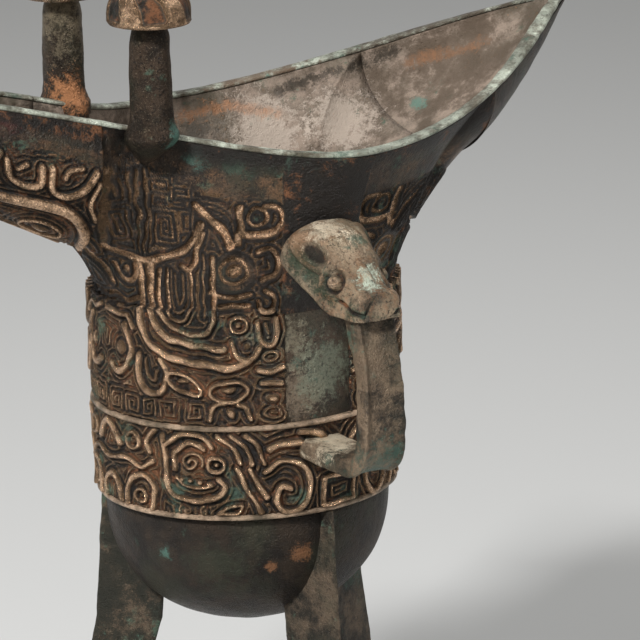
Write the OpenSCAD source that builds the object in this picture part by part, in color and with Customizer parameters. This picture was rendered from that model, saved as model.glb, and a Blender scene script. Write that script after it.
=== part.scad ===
// Bronze jue: a wine cup on three blade legs, with a spout, a pointed tail,
// two capped posts on the rim and a side handle with an animal head.
// The spout points along -X, the tail along +X and the handle along -Y.
// Z = 0 is the floor under the feet. Shapes are drawn about the axis of the oval cup, and
// placed() then moves them so that the origin is the middle of the whole vessel's footprint.

/* [Cup] */
// Length of the oval cup wall, along the spout and the tail
cup_l = 66; // [63:0.5:70]
// Width of the oval cup wall, across the spout and the tail
cup_w = 60.8; // [58:0.2:64]
// Thickness of the cast metal in the wall, the bowl, the mouth and the spout
metal_t = 2.6; // [2.2:0.1:3.2]
// Height of the line between the two ornament bands above the floor
line_z = 118; // [112:1:124]
// Height of the straight wall above that line, up to the seam of the mouth
wall_up = 24; // [21:0.5:26]
// Height of the lower ornament band, below that line
lower_band_h = 20.2; // [18:0.2:22]
// How much shorter the oval is at the foot of the lower band
cup_draw = 1.9; // [0:0.1:3]
// Depth of the egg-shaped bowl below the lower band
bowl_h = 30; // [27:0.5:32]
// Step in, on each side, from the lower band to the bowl
bowl_step = 0.8; // [0.2:0.1:1.2]

/* [Mouth] */
// Full width of the mouth at its widest
mouth_w = 76; // [72:0.5:80]
// Distance of the widest place from the cup's axis, towards the tail
mouth_x = 8; // [4:0.5:12]
// Height of the mouth's lowest place above the floor
mouth_z = 176.2; // [173:0.5:179]
// Reach of the tail's tip from the cup's axis
tail_reach = 84; // [80:0.5:88]
// Height of the tail's tip above the floor
tail_z = 195.5; // [192:0.5:199]
// Distance of the joint between the mouth and the tail from the cup's axis
tail_joint_x = 46; // [44:0.5:50]
// Depth of the tail from its rim to its underside at that joint
tail_root_h = 18; // [16:0.5:22]
// How far the tail's underside sags below a straight line to the tip
tail_sag = 2.3; // [1:0.1:3]
// Height of the lip bead on the rim
lip_h = 1.2; // [0.8:0.1:1.6]
// Overhang of the lip bead beyond the metal on each side
lip_out = 0.4; // [0.2:0.1:0.6]

/* [Spout] */
// Distance of the joint between the mouth and the spout from the cup's axis
spout_joint_x = 42; // [40:0.5:44]
// Full width of the spout at that joint
spout_root_w = 32.6; // [30:0.2:34]
// Full width of the spout at its open end
spout_end_w = 27; // [25:0.5:29]
// Reach of the spout's open end from the cup's axis
spout_reach = 88; // [84:0.5:92]
// Height of the spout's rim above the floor at the joint
spout_root_z = 184.8; // [183:0.2:187]
// Height of the spout's rim above the floor at the open end
spout_end_z = 197; // [194:0.5:200]
// Depth of the spout from its rim to its underside at the joint
spout_root_h = 28.5; // [26:0.5:30]
// Depth of the spout from its rim to its underside at the open end
spout_end_h = 20; // [17:0.5:22]

/* [Ornament] */
// Raised thickness of the upper band, with the masks
upper_relief = 0.9; // [0.6:0.1:1.2]
// Raised thickness of the lower band, with the dragons
lower_relief = 0.9; // [0.6:0.1:1.2]
// Height of the masks' main ridges on the mouth, above the band
mouth_relief = 1; // [0.6:0.1:1.2]
// Height of the long ridge on each side of the spout
spout_relief = 1.3; // [0.8:0.1:1.6]
// Height of each plain border ring
ring_h = 1.2; // [0.8:0.1:1.6]
// Raised thickness of each plain border ring
ring_relief = 1.2; // [0.8:0.1:1.5]
// Width of the plain strip behind the handle
plain_w = 15; // [13:0.5:18]

/* [Handle] */
// Reach of the handle's outer face from the cup's axis
handle_reach = 56.5; // [53:0.5:60]
// Width of the handle strap
strap_w = 10.6; // [9:0.2:12]
// Thickness of the strap at its outer side
strap_t = 4.6; // [3.6:0.1:5.4]
// How far the strap leans in towards the cup under the head, at its outer face
strap_lean = 2.6; // [1:0.2:4]
// Thickness of the strap where it meets the head
strap_top_t = 7; // [5.6:0.2:8]
// Thickness of the strap's lower arm
strap_low_t = 4.4; // [4:0.1:6]
// Top of the strap, under the head, above the band line
strap_top = 27; // [26:0.5:29]
// Bottom of the strap's lower arm below the band line
strap_low = 7.7; // [7.2:0.5:9.2]
// Outer radius of the strap's bend
strap_r = 9; // [8:0.5:10]
// Width of the animal head at its root on the wall
head_root_w = 20; // [17:0.5:22]
// Width of the animal head across the eyes
head_eye_w = 15; // [13:0.5:16]
// Width of the animal head's snout
snout_w = 12; // [11:0.5:13]
// Height of the head's root above the strap
head_root_h = 17; // [15:0.5:18]
// Height of the arch under the head, at the wall
head_arch = 9; // [6:0.5:11]
// Height of the snout above the strap
snout_h = 5.5; // [4.5:0.5:7]

/* [Posts] */
// Distance of the posts from the cup's axis, towards the spout
post_x = 31.9; // [31:0.1:34]
// Distance between the two posts' axes
post_span = 37.8; // [36:0.2:40]
// Diameter of a post at its foot on the rim
post_d = 9.2; // [8:0.1:10]
// Diameter of a post at its neck, under the cap
post_neck_d = 6.9; // [6:0.1:7.5]
// Height of the underside of the caps above the floor
cap_z = 204; // [200:0.5:208]
// Length of a post's root on the outside of the wall
post_root = 7; // [5:0.5:12]
// Diameter of the tenon that holds the cap
tenon_d = 4; // [3.4:0.1:4.6]
// Length of that tenon
tenon_l = 4; // [3:0.1:5]
// Gap between a tenon and the socket in its cap
tenon_gap = 0.1; // [0.05:0.05:0.2]
// Diameter of a cap
cap_d = 17.8; // [16:0.2:20]
// Height of a cap
cap_h = 11.5; // [10.5:0.5:14]
// Height of the cap's upright edge
cap_edge = 2.6; // [2:0.2:3.2]
// Diameter of the knob on a cap
knob_d = 4.6; // [4:0.1:5.4]

/* [Legs] */
// Direction of the leg under the handle, in degrees from the tail
leg_a_handle = -86; // [-92:1:-82]
// Direction of the leg on the tail's side
leg_a_tail = 12; // [8:1:22]
// Direction of the leg on the spout's side
leg_a_spout = 152; // [146:1:158]
// How far a leg's ridge reaches past the end of the oval, at the foot of the lower band
leg_top_out = 0.15; // [-0.4:0.05:0.7]
// How far it reaches past the end of the oval, level with the bowl's bottom
leg_mid_out = 1.5; // [0.5:0.1:3]
// Reach of a leg's ridge on the floor
leg_foot_r = 46; // [43:0.5:50]
// Depth of a leg from its ridge to its back, at the bowl
leg_depth = 15.5; // [14:0.5:17]
// Width of a leg's back at the bowl
leg_w = 9.4; // [8.5:0.1:11]
// Depth of a leg at the floor
foot_depth = 6; // [5:0.5:8]
// Width of a leg's back at the floor
foot_w = 4.4; // [3.6:0.1:6]

/* [Hidden] */
$fn = 96;

// Colours of the patina
bronze = [0.20, 0.18, 0.15];
worn = [0.42, 0.36, 0.27];
green = [0.25, 0.38, 0.32];
mint = [0.60, 0.66, 0.58];

// Heights above the floor
seam_z = line_z + wall_up;
band_foot_z = line_z - lower_band_h;
bowl_z = band_foot_z - bowl_h;
strap_top_z = line_z + strap_top;
strap_low_z = line_z - strap_low;
overlap = 1;
bowl_fit = 0.03;

// The oval at the foot of the lower band, as a share of the oval above it
draw = 1 - cup_draw / cup_l;

// The middle of the vessel's footprint, seen from the cup's axis
snout_back = 1.4;
head_front = handle_reach - snout_back;
centre = [(tail_reach + lip_out - spout_reach) / 2, (mouth_w / 2 + lip_out - handle_reach) / 2, 0];
module placed() {
    translate(-centre) children();
}

function lerp(a, b, t) = a + (b - a) * t;
function flat(lists) = [for (l = lists) each l];
function smooth(t) = let (u = min(1, max(0, t))) u * u * (3 - 2 * u);
function bezier(p, t) =
    let (s = 1 - t)
    s * s * s * p[0] + 3 * s * s * t * p[1] + 3 * s * t * t * p[2] + t * t * t * p[3];

// The place on a curve where its x falls to the value given, for a curve that runs towards -X
function at_x(p, x, lo = 0, hi = 1, n = 24) =
    n == 0 ? (lo + hi) / 2
    : let (m = (lo + hi) / 2)
      bezier(p, m)[0] > x ? at_x(p, x, m, hi, n - 1) : at_x(p, x, lo, m, n - 1);

// The handles that bend the rim's curves: at the tip of the tail as [back, across, down], on
// both sides of the widest place, and before the spout's joint
tip_handle = [18, 15, 3.6];
wide_handle_tail = [0.42, 0.5, 1.2];
wide_handle_spout = 16;
joint_handle = [22, 0.6, 2.3];

// The rim of one side as two curves of [x, half width, height], drawn in by t for the inner face
tip_in = 1.5;
function tail_rim(t) = [
    [tail_reach - tip_in * t, 0, tail_z],
    [tail_reach - tip_handle[0] - t, tip_handle[1] - 0.7 * t, tail_z - tip_handle[2]],
    [
        lerp(mouth_x, tail_reach, wide_handle_tail[0]),
        mouth_w / 2 + wide_handle_tail[1] - t,
        mouth_z + wide_handle_tail[2]
    ],
    [mouth_x, mouth_w / 2 - t, mouth_z]
];
function side_rim(t) = [
    [mouth_x, mouth_w / 2 - t, mouth_z],
    [mouth_x - wide_handle_spout, mouth_w / 2 - t, mouth_z - 0.2],
    [
        -spout_joint_x + joint_handle[0],
        spout_root_w / 2 - joint_handle[1] - t,
        mouth_z + joint_handle[2]
    ],
    [-spout_joint_x, spout_root_w / 2 - t, spout_root_z]
];
function rim(x, t) =
    let (p = x > mouth_x ? tail_rim(t) : side_rim(t), q = bezier(p, at_x(p, x)))
    [x, q[1], q[2] - lip_h];

// Stations along the rim of one side, from the tail's joint to the spout's joint
flare_steps = 7;
side_steps = 13;
u_steps = 9;
rim_xs = concat(
    [for (i = [0 : flare_steps]) lerp(tail_joint_x, mouth_x, i / flare_steps)],
    [for (i = [1 : side_steps]) lerp(mouth_x, -spout_joint_x, i / side_steps)]
);
function rim_point(x, t) = [x, rim(x, t)[1], rim(x, 0)[2]];

// The tail's cross-section: k runs from 0 at the rim to 1 at the underside, s from joint to tip.
// Its floor slopes, so it is thicker by tail_floor when measured upright.
tail_root_low = rim(tail_joint_x, 0)[2] - tail_root_h;
function tail_low_z(s) =
    lerp(tail_root_low, tail_z - lip_h, s) - tail_sag * 4 * s * (1 - s);
tail_floor = 1.2;
function tail_point(s, k, t) =
    let (
        at_tip = s > 0.999,
        x = lerp(tail_joint_x, tail_reach, s),
        x_in = lerp(tail_joint_x, tail_reach - tip_in * t, s),
        top = at_tip ? tail_z - lip_h : rim(x, 0)[2],
        low = at_tip ? top : tail_low_z(s) + tail_floor * t,
        half = at_tip ? 0 : rim(x_in, t)[1],
        a = 90 * k
    )
    [x_in, half * cos(a), lerp(top, low, sin(a))];
tail_rise = atan((tail_low_z(0.1) - tail_low_z(0)) / (0.1 * (tail_reach - tail_joint_x)));

// The spout's cross-section: k runs from 0 at the rim to 1 at the underside, s from joint to end
// Its open end leans back from the underside to the rim by spout_lean of its depth.
u_power = 0.8;
spout_lean = 0.2;
function spout_half_w(s) = lerp(spout_root_w, spout_end_w, s) / 2;
function spout_rim_z(s) = lerp(spout_root_z, spout_end_z, s) - lip_h;
function spout_low_z(s) = lerp(spout_root_z - spout_root_h, spout_end_z - spout_end_h, s);
function spout_point(s, k, t) =
    let (top = spout_rim_z(s), low = spout_low_z(s) + t, a = 90 * k)
    [
        -lerp(spout_joint_x, spout_reach, s) + s * spout_lean * (top - low) * pow(sin(a), u_power),
        (spout_half_w(s) - t) * pow(cos(a), u_power),
        lerp(top, low, pow(sin(a), u_power))
    ];
spout_rise = atan((spout_end_z - spout_end_h - spout_root_z + spout_root_h)
    / (spout_reach - spout_joint_x));

// The upper edge of the mouth on one side: up the tail's joint from the middle of its underside,
// along the rim and down the spout's joint to the middle of its underside
function edge(t) = concat(
    [for (k = [u_steps : -1 : 1]) tail_point(0, k / u_steps, t)],
    [for (x = rim_xs) rim_point(x, t)],
    [for (k = [1 : u_steps]) spout_point(0, k / u_steps, t)]
);
n_rim = len(rim_xs);
n_edge = n_rim + 2 * u_steps;

// The direction round the oval at which the surface that ends at edge point i leaves the seam
edge_out = edge(0);
function oval_angle(p) = atan2(p[1] / (cup_w / 2), p[0] / (cup_l / 2));
tail_angle = oval_angle(edge_out[u_steps]);
spout_angle = oval_angle(edge_out[u_steps + n_rim - 1]);
leave_angles = [for (i = [0 : n_edge - 1])
    i < u_steps ? tail_angle * i / u_steps
    : i < u_steps + n_rim ? oval_angle(edge_out[i])
    : lerp(spout_angle, 180, (i - u_steps - n_rim + 1) / u_steps)];

// One curve of the mouth, from the seam to edge point i: upright at the seam, flared at the rim
// and in line with the tail or the spout at their joints. The flare grows with the slope of the
// curve up to a limit, and the pulls are the lengths of the curve's handles, as shares.
joint_blend = 14;
flare_gain = 2.4;
flare_limit = 1.7;
seam_pull = 0.3;
rim_pull = 0.35;
spout_pull = 0.22;
function flow(e, i, t) =
    let (
        a = leave_angles[i],
        s = [(cup_l / 2 - t) * cos(a), (cup_w / 2 - t) * sin(a), seam_z],
        d = e[i] - s,
        plan = norm([d[0], d[1]]),
        slope = plan / d[2],
        out = plan < 0.01 ? [0, 0, 0] : [d[0], d[1], 0] / plan,
        flare = out * flare_gain * slope / (1 + flare_limit * slope) + [0, 0, 1],
        to_spout = smooth((-e[i][0] - spout_joint_x + joint_blend) / joint_blend),
        to_tail = smooth((e[i][0] - tail_joint_x + joint_blend) / joint_blend),
        near_spout = lerp(flare / norm(flare), [-cos(spout_rise), 0, sin(spout_rise)], to_spout),
        end = lerp(near_spout, [cos(tail_rise), 0, sin(tail_rise)], to_tail)
    )
    [
        s,
        s + [0, 0, seam_pull * d[2] / (1 + flare_gain * slope)],
        e[i] - end * lerp(rim_pull, spout_pull, to_spout) * norm(d),
        e[i]
    ];
flows = [for (t = [0, metal_t]) let (e = edge(t)) [for (i = [0 : n_edge - 1]) flow(e, i, t)]];

// Closes a shell from two grids of points: rows of the outer face and rows of the inner face.
// Each row runs round the cup, closed or open, and triangles without area are left out.
function area(p, f) = norm(cross(p[f[1]] - p[f[0]], p[f[2]] - p[f[0]]));
function grid_faces(rows, cols, first, closed, flip) = flat([
    for (j = [0 : rows - 2], i = [0 : closed ? cols - 1 : cols - 2])
        let (
            k = (i + 1) % cols,
            a = first + j * cols + i,
            b = first + j * cols + k,
            c = first + (j + 1) * cols + k,
            d = first + (j + 1) * cols + i
        )
        flip ? [[a, b, c], [a, c, d]] : [[a, c, b], [a, d, c]]
]);
module shell(outer, inner, closed) {
    rows = len(outer);
    cols = len(outer[0]);
    n = rows * cols;
    points = concat(flat(outer), flat(inner));
    last = closed ? cols - 1 : cols - 2;
    edges = flat([for (i = [0 : last])
        let (k = (i + 1) % cols, t = (rows - 1) * cols)
        [
            [k, i, n + k], [n + k, i, n + i],
            [t + i, t + k, n + t + i], [n + t + i, t + k, n + t + k]
        ]]);
    ends = closed ? [] : flat([for (j = [0 : rows - 2])
        let (a = j * cols, b = a + cols, c = a + cols - 1, d = b + cols - 1)
        [
            [a, b, n + a], [n + a, b, n + b],
            [d, c, n + d], [n + d, c, n + c]
        ]]);
    faces = concat(
        grid_faces(rows, cols, 0, closed, true),
        grid_faces(rows, cols, n, closed, false),
        edges,
        ends
    );
    polyhedron(points, [for (f = faces) if (area(points, f) > 0.0001) f], 4);
}

// A row of points all round: the near side with -Y from the first station to the last,
// then the far side back again
function both_sides(p) = concat(
    [for (q = p) [q[0], -q[1], q[2]]],
    [for (i = [len(p) - 1 : -1 : 0]) if (p[i][1] > 0.001) p[i]]
);

mouth_rows = 9;
function mouth_row(k, r) = both_sides([for (f = flows[k]) bezier(f, r)]);

// A low ridge of cast relief along a line of [place on the surface, direction out of it]. It is
// sunk into the surface by its foot, and its top is narrower than its foot.
ridge_foot = 0.4;
ridge_top = 0.5;
module ridge(line, w, h) {
    n = len(line) - 1;
    rings = [for (i = [0 : n])
        let (
            p = line[i][0],
            out = line[i][1],
            across = cross(line[min(i + 1, n)][0] - line[max(i - 1, 0)][0], out),
            side = across / norm(across) * w / 2
        )
        [
            p - side - out * ridge_foot,
            p - side * ridge_top + out * h,
            p + side * ridge_top + out * h,
            p + side - out * ridge_foot
        ]];
    sides = flat([for (j = [0 : n - 1], i = [0 : 3])
        let (a = 4 * j + i, b = 4 * j + (i + 1) % 4)
        [[a, b + 4, b], [a, a + 4, b + 4]]]);
    start = [[0, 1, 2], [0, 2, 3]];
    end = [for (f = start) [for (v = [2, 1, 0]) f[v] + 4 * n]];
    polyhedron(flat(rings), concat(sides, start, end), 4);
}

// A place on the mouth: s runs round the wall from the middle of a long side towards the spout,
// and z up from the line between the bands
girth = (cup_l + cup_w) / 4;
columns = [for (i = [0 : n_edge - 1]) [leave_angles[i], i]];
function on_flow(f, z, lo = 0, hi = 1, n = 20) =
    let (m = (lo + hi) / 2, p = bezier(f, m))
    n == 0 ? p : p[2] < z ? on_flow(f, z, m, hi, n - 1) : on_flow(f, z, lo, m, n - 1);
function mouth_place(s, z) =
    let (c = lookup(90 + s / girth * 180 / PI, columns), i = min(floor(c), n_edge - 2))
    lerp(on_flow(flows[0][i], line_z + z), on_flow(flows[0][i + 1], line_z + z), c - i);
function unit(v) = v / norm(v);
probe = 0.5;
function mouth_out(s, z) = unit(cross(
    mouth_place(s + probe, z) - mouth_place(s - probe, z),
    mouth_place(s, z + probe) - mouth_place(s, z - probe)
));

// The main ridges of one half of a mask above the seam, as [width, places]: the lower edge of
// the panel under the post, the brow, the horn, three bands of the jaw, and a hook by the spout
mask_ridges = [
    [2, [[45.2, 38], [41.5, 36.4], [37.6, 34.9], [33.8, 36.1], [30.4, 37], [27.4, 38.4],
        [25.6, 40.6], [24.6, 43]]],
    [2.2, [[25.6, 47.4], [22.6, 44.8], [20, 42.2], [18.4, 39]]],
    [1.7, [[16.4, 47], [16.2, 43], [16.6, 40]]],
    [2, [[36.4, 32.4], [36.5, 28.6], [36.3, 25.2]]],
    [1.5, [[32.3, 33], [32.2, 29], [31.8, 25.2]]],
    [1.5, [[22.2, 36], [22.1, 30.6], [22, 25.2]]],
    [1.7, [[48.4, 35], [47.4, 33], [46.8, 29.6]]]
];
// A mask's eye as [place, radius]
mask_eye = [[17.8, 33.4], 2.9];

module mask_relief(way) {
    for (r = mask_ridges)
        ridge([for (q = r[1]) [mouth_place(way * q[0], q[1]), mouth_out(way * q[0], q[1])]],
            r[0], mouth_relief);
    eye = [way * mask_eye[0][0], mask_eye[0][1]];
    out = mouth_out(eye[0], eye[1]);
    translate(mouth_place(eye[0], eye[1]) - out * ridge_foot)
        rotate([0, acos(out[2]), atan2(out[1], out[0])])
        cylinder(mouth_relief + ridge_foot, mask_eye[1], mask_eye[1] * 0.75, $fn = 12);
}

module flared_mouth() {
    color(bronze)
    union() {
        shell(
            [for (j = [0 : mouth_rows]) mouth_row(0, j / mouth_rows)],
            [for (j = [0 : mouth_rows]) mouth_row(1, j / mouth_rows)],
            true
        );
        for (way = [-1, 1]) {
            mask_relief(way);
            mirror([0, 1, 0]) mask_relief(way);
        }
    }
}

// One row across a trough, from the near rim under the middle to the far rim or back
function trough_row(p, turned) =
    let (near = [for (q = p) [q[0], -q[1], q[2]]], n = len(p) - 2)
    turned
    ? concat([for (i = [0 : n]) p[i]], [for (i = [n + 1 : -1 : 0]) near[i]])
    : concat(near, [for (i = [n : -1 : 0]) p[i]]);

tail_rows = 9;
function tail_row(s, t) =
    trough_row([for (k = [0 : u_steps]) tail_point(s, k / u_steps, t)], true);

module tail() {
    color(bronze)
    shell(
        [for (j = [0 : tail_rows]) tail_row(j / tail_rows, 0)],
        [for (j = [0 : tail_rows]) tail_row(j / tail_rows, metal_t)],
        false
    );
}

spout_rows = 8;
function spout_row(s, t) =
    trough_row([for (k = [0 : u_steps]) spout_point(s, k / u_steps, t)], false);

// A place on the spout's side: u runs from the joint to the open end and g down its girth, both
// as shares
spout_side = [for (k = [0 : u_steps]) spout_point(0.5, k / u_steps, 0)];
function girth_to(k) = k == 0 ? 0 : girth_to(k - 1) + norm(spout_side[k] - spout_side[k - 1]);
spout_girths = [for (k = [0 : u_steps]) [girth_to(k) / girth_to(u_steps), k / u_steps]];
function spout_place(u, g) = spout_point(u, lookup(g, spout_girths), 0);
nudge = 0.01;
function spout_out(u, g) = unit(cross(
    spout_place(u + nudge, g) - spout_place(u - nudge, g),
    spout_place(u, g - nudge) - spout_place(u, g + nudge)
));

// The long ridge on each side of the spout, from its open end to the mouth
spout_ridge_w = 3.4;
spout_ridge = [[0.96, 0.66], [0.74, 0.61], [0.5, 0.6], [0.3, 0.57], [0.18, 0.57], [0.1, 0.61],
    [0.05, 0.67]];

module spout_relief_side() {
    ridge([for (q = spout_ridge) [spout_place(q[0], q[1]), spout_out(q[0], q[1])]],
        spout_ridge_w, spout_relief);
}

module spout() {
    color(bronze)
    union() {
        shell(
            [for (j = [0 : spout_rows]) spout_row(j / spout_rows, 0)],
            [for (j = [0 : spout_rows]) spout_row(j / spout_rows, metal_t)],
            false
        );
        spout_relief_side();
        mirror([0, 1, 0]) spout_relief_side();
    }
}

// A lip bead over a strip of rim: its foot is the rim's own edge, its top hangs over both sides
function away(p, q) = let (d = [p[0] - q[0], p[1] - q[1], 0]) d / norm(d);
module lip(outer, inner) {
    up = [0, 0, lip_h];
    n = [0 : len(outer) - 1];
    shell(
        [outer, [for (i = n) outer[i] + up + away(outer[i], inner[i]) * lip_out]],
        [inner, [for (i = n) inner[i] + up - away(outer[i], inner[i]) * lip_out]],
        false
    );
}

function near(p) = [for (q = p) [q[0], -q[1], q[2]]];
function whole_rim(t) =
    let (
        side = [for (x = rim_xs) rim_point(x, t)],
        tip = [for (j = [1 : tail_rows]) tail_point(j / tail_rows, 0, t)]
    )
    concat(
        [for (i = [n_rim - 1 : -1 : 0]) side[i]],
        tip,
        [for (i = [tail_rows - 2 : -1 : 0]) near(tip)[i]],
        near(side)
    );

module mouth_lip() {
    color(mint)
    lip(whole_rim(0), whole_rim(metal_t));
}

module spout_lip() {
    n = [0 : spout_rows];
    color(mint)
    for (side = [-1, 1]) {
        outer = [for (j = n) let (q = spout_point(j / spout_rows, 0, 0)) [q[0], side * q[1], q[2]]];
        inner = [for (j = n)
            let (q = spout_point(j / spout_rows, 0, metal_t)) [q[0], side * q[1], q[2]]];
        if (side > 0) lip([for (j = n) outer[spout_rows - j]], [for (j = n) inner[spout_rows - j]]);
        else lip(outer, inner);
    }
}

// One ring of the oval at height z: k is its share of the full oval, d moves it outward, and
// the angles run clockwise from a0 over the given turn
oval_steps = 72;
function oval_row(k, z, d, a0 = 0, turn = 360) = [
    for (i = [0 : turn < 360 ? oval_steps : oval_steps - 1])
        let (a = a0 - turn * i / oval_steps)
        [(cup_l / 2 * k + d) * cos(a), (cup_w / 2 * k + d) * sin(a), z]
];
function oval_share(z) = z < line_z ? lerp(1, draw, (line_z - z) / lower_band_h) : 1;

// A ring on the wall between two heights, from d_in to d_out outside the wall's face
module wall_ring(zs, d_out, d_in, a0 = 0, turn = 360) {
    shell(
        [for (z = zs) oval_row(oval_share(z), z, d_out, a0, turn)],
        [for (z = zs) oval_row(oval_share(z), z, d_in, a0, turn)],
        turn == 360
    );
}

// The exact solid inside the cup's outer face, between two heights, thicker by d
module cup_outside(z0, z1, d = 0) {
    scale([cup_l / 2 + d, cup_w / 2 + d, 1])
    rotate_extrude()
    polygon([
        [0, z0],
        [oval_share(z0), z0],
        if (z0 < line_z && z1 > line_z) [1, line_z],
        [1, z1],
        [0, z1]
    ]);
}

module cup_wall() {
    color(bronze)
    wall_ring([band_foot_z, line_z, seam_z], 0, -metal_t);
}

// The egg shape of the bowl as rows from its lowest point up, thinner by t on every side
egg_steps = 12;
egg_share = draw - bowl_step / (cup_l / 2);
egg_power = 0.8;
function egg_height(a, t) = band_foot_z - (bowl_h - t) * pow(sin(a), egg_power);
function egg_rows(t) = [for (i = [egg_steps : -1 : 0])
    let (a = 90 * i / egg_steps, c = i == egg_steps ? 0 : cos(a))
    [for (p = oval_row(egg_share, 0, -t)) [p[0] * c, p[1] * c, egg_height(a, t)]]];

// The exact solid of the bowl's outside, thicker by d, with a straight top above the bowl
module egg(d) {
    scale([cup_l / 2 * egg_share + d, cup_w / 2 * egg_share + d, 1])
    rotate_extrude()
    polygon(concat(
        [[0, band_foot_z + overlap], [1, band_foot_z + overlap]],
        [for (i = [0 : egg_steps])
            let (a = 90 * i / egg_steps)
            [cos(a), egg_height(a, -d)]]
    ));
}

module cup_bowl() {
    color(bronze)
    shell(egg_rows(0), egg_rows(metal_t), true);
}

module upper_mask_band() {
    half_gap = asin(plain_w / cup_w);
    color(worn)
    wall_ring([line_z + ring_h / 2, seam_z], upper_relief, 0, -90 - half_gap, 360 - 2 * half_gap);
}

module lower_dragon_band() {
    color(worn)
    wall_ring([band_foot_z + ring_h, line_z - ring_h / 2], lower_relief, 0);
}

module middle_ring() {
    color(worn)
    wall_ring([line_z - ring_h / 2, line_z, line_z + ring_h / 2], ring_relief, 0);
}

module lower_ring() {
    color(worn)
    wall_ring([band_foot_z, band_foot_z + ring_h], ring_relief, 0);
}

// Points of a quarter bend about c, from angle a to angle b
bend_steps = 8;
function bend(c, r, a, b) = [for (i = [0 : bend_steps])
    let (at = lerp(a, b, i / bend_steps))
    c + r * [cos(at), sin(at)]];

// One face of the strap's upper end, which leans in from reach r to r - lean
lean_h = 13;
lean_steps = 6;
function leaning(r, lean) = [for (i = [0 : lean_steps])
    let (t = i / lean_steps)
    [r - lean * t * t, strap_top_z - lean_h * (1 - t)]];
function backwards(v) = [for (i = [len(v) - 1 : -1 : 0]) v[i]];

module strap_outline() {
    inner_r = strap_r - strap_t;
    polygon(concat(
        [[0, strap_low_z]],
        bend([handle_reach - strap_r, strap_low_z + strap_r], strap_r, -90, 0),
        leaning(handle_reach, strap_lean),
        backwards(leaning(handle_reach - strap_t, strap_lean + strap_top_t - strap_t)),
        bend([handle_reach - strap_r, strap_low_z + strap_low_t + inner_r], inner_r, 0, -90),
        [[0, strap_low_z + strap_low_t]]
    ));
}

module handle_strap() {
    color(green)
    difference() {
        rotate([90, 0, -90])
            linear_extrude(strap_w, center = true)
            strap_outline();
        cup_outside(band_foot_z, line_z, lower_relief);
    }
}

// How far the outside of the mouth stands from the cup's axis at height z, on the handle's side,
// along the curve that ends nearest to the middle of the handle
handle_station = 2;
side_flow = flows[0][u_steps + flare_steps + handle_station];
function wall_reach(z, lo = 0, hi = 1, n = 20) =
    let (m = (lo + hi) / 2, p = bezier(side_flow, m))
    n == 0 ? p[1] : p[2] < z ? wall_reach(z, m, hi, n - 1) : wall_reach(z, lo, m, n - 1);

// The head's outline: stations s from the wall to the snout, with a half width and a height
head_gap = 0.3;
head_steps = 12;
head_points = 16;
head_power = 0.7;
brow_s = 0.25;
brow_drop = 1;
muzzle_s = 0.9;
muzzle_round = 0.75;
function head_half_w(s) = s < 0.5
    ? lerp(head_root_w, head_eye_w, smooth(s / 0.5)) / 2
    : lerp(head_eye_w, snout_w, smooth((s - 0.5) / 0.3)) / 2;
// The underside of the head arches from the wall down to the inner edge of the strap
arch_power = 1.2;
arch_end = handle_reach - strap_lean - strap_top_t;
function head_floor(s) =
    let (wall = wall_reach(strap_top_z + head_arch), left = arch_end - lerp(wall, head_front, s))
    head_arch * pow(max(0, left / (arch_end - wall)), arch_power);
function head_height(s) = s < brow_s
    ? lerp(head_root_h, head_root_h - brow_drop, s / brow_s)
    : lerp(head_root_h - brow_drop, snout_h, smooth((s - brow_s) / (1 - brow_s)));
function head_round(s) =
    s < muzzle_s ? 1 : lerp(1, muzzle_round, (s - muzzle_s) / (1 - muzzle_s));
function head_ring(s) = [for (i = [0 : head_points])
    let (
        a = 180 * i / head_points,
        x = head_half_w(s) * head_round(s) * sign(cos(a)) * pow(abs(cos(a)), head_power),
        z = strap_top_z + lerp(head_floor(s), head_height(s), pow(sin(a), head_power)),
        back = wall_reach(z) * sqrt(1 - pow(x / cup_l, 2)) + head_gap
    )
    [x, -lerp(back, head_front, s), z]];

module handle_head() {
    rings = [for (j = [0 : head_steps]) head_ring(j / head_steps)];
    n = head_points + 1;
    sides = flat([for (j = [0 : head_steps - 1], i = [0 : n - 1])
        let (a = j * n + i, b = j * n + (i + 1) % n, c = a + n, d = b + n)
        [[a, d, b], [a, c, d]]]);
    across = [for (i = [0 : n / 2 - 1]) each [[i, i + 1, n - 1 - i], [i + 1, n - 2 - i, n - 1 - i]]];
    back = [for (f = across) if (f[0] != f[1]) f];
    front = [for (f = back) [for (v = [2, 1, 0]) f[v] + head_steps * n]];
    color(worn)
    polyhedron(flat(rings), concat(sides, back, front), 4);
}

// The height and the slope of the rim where a post stands
post_rim = rim(-post_x, 0);
post_rim_next = rim(-post_x - 1, 0);
rim_slope = atan(post_rim_next[2] - post_rim[2]);
saddle_gap = 0.05;
saddle_end_x = 2 * post_d - post_x;

// The space taken by the wall and its lip, which a post's foot stands over and beside
module rim_saddle() {
    xs = [for (i = [0 : 12]) lerp(-spout_joint_x, saddle_end_x, i / 12)];
    intersection() {
        translate([0, 0, seam_z - overlap])
            linear_extrude(tail_z)
            polygon(concat(
                [[saddle_end_x, 0], [-spout_joint_x, 0]],
                [for (x = xs) [x, rim(x, 0)[1] + lip_out + saddle_gap]]
            ));
        translate([-post_x, 0, post_rim[2] + lip_h])
            rotate([0, rim_slope, 0])
            translate([-cup_l, -overlap, -tail_z])
            cube([2 * cup_l, mouth_w, tail_z]);
    }
}

// A post's swell above its foot, and the height over which its neck narrows
post_swell_at = 0.4;
post_swell = 0.96;
neck_h = 2.5;

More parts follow.
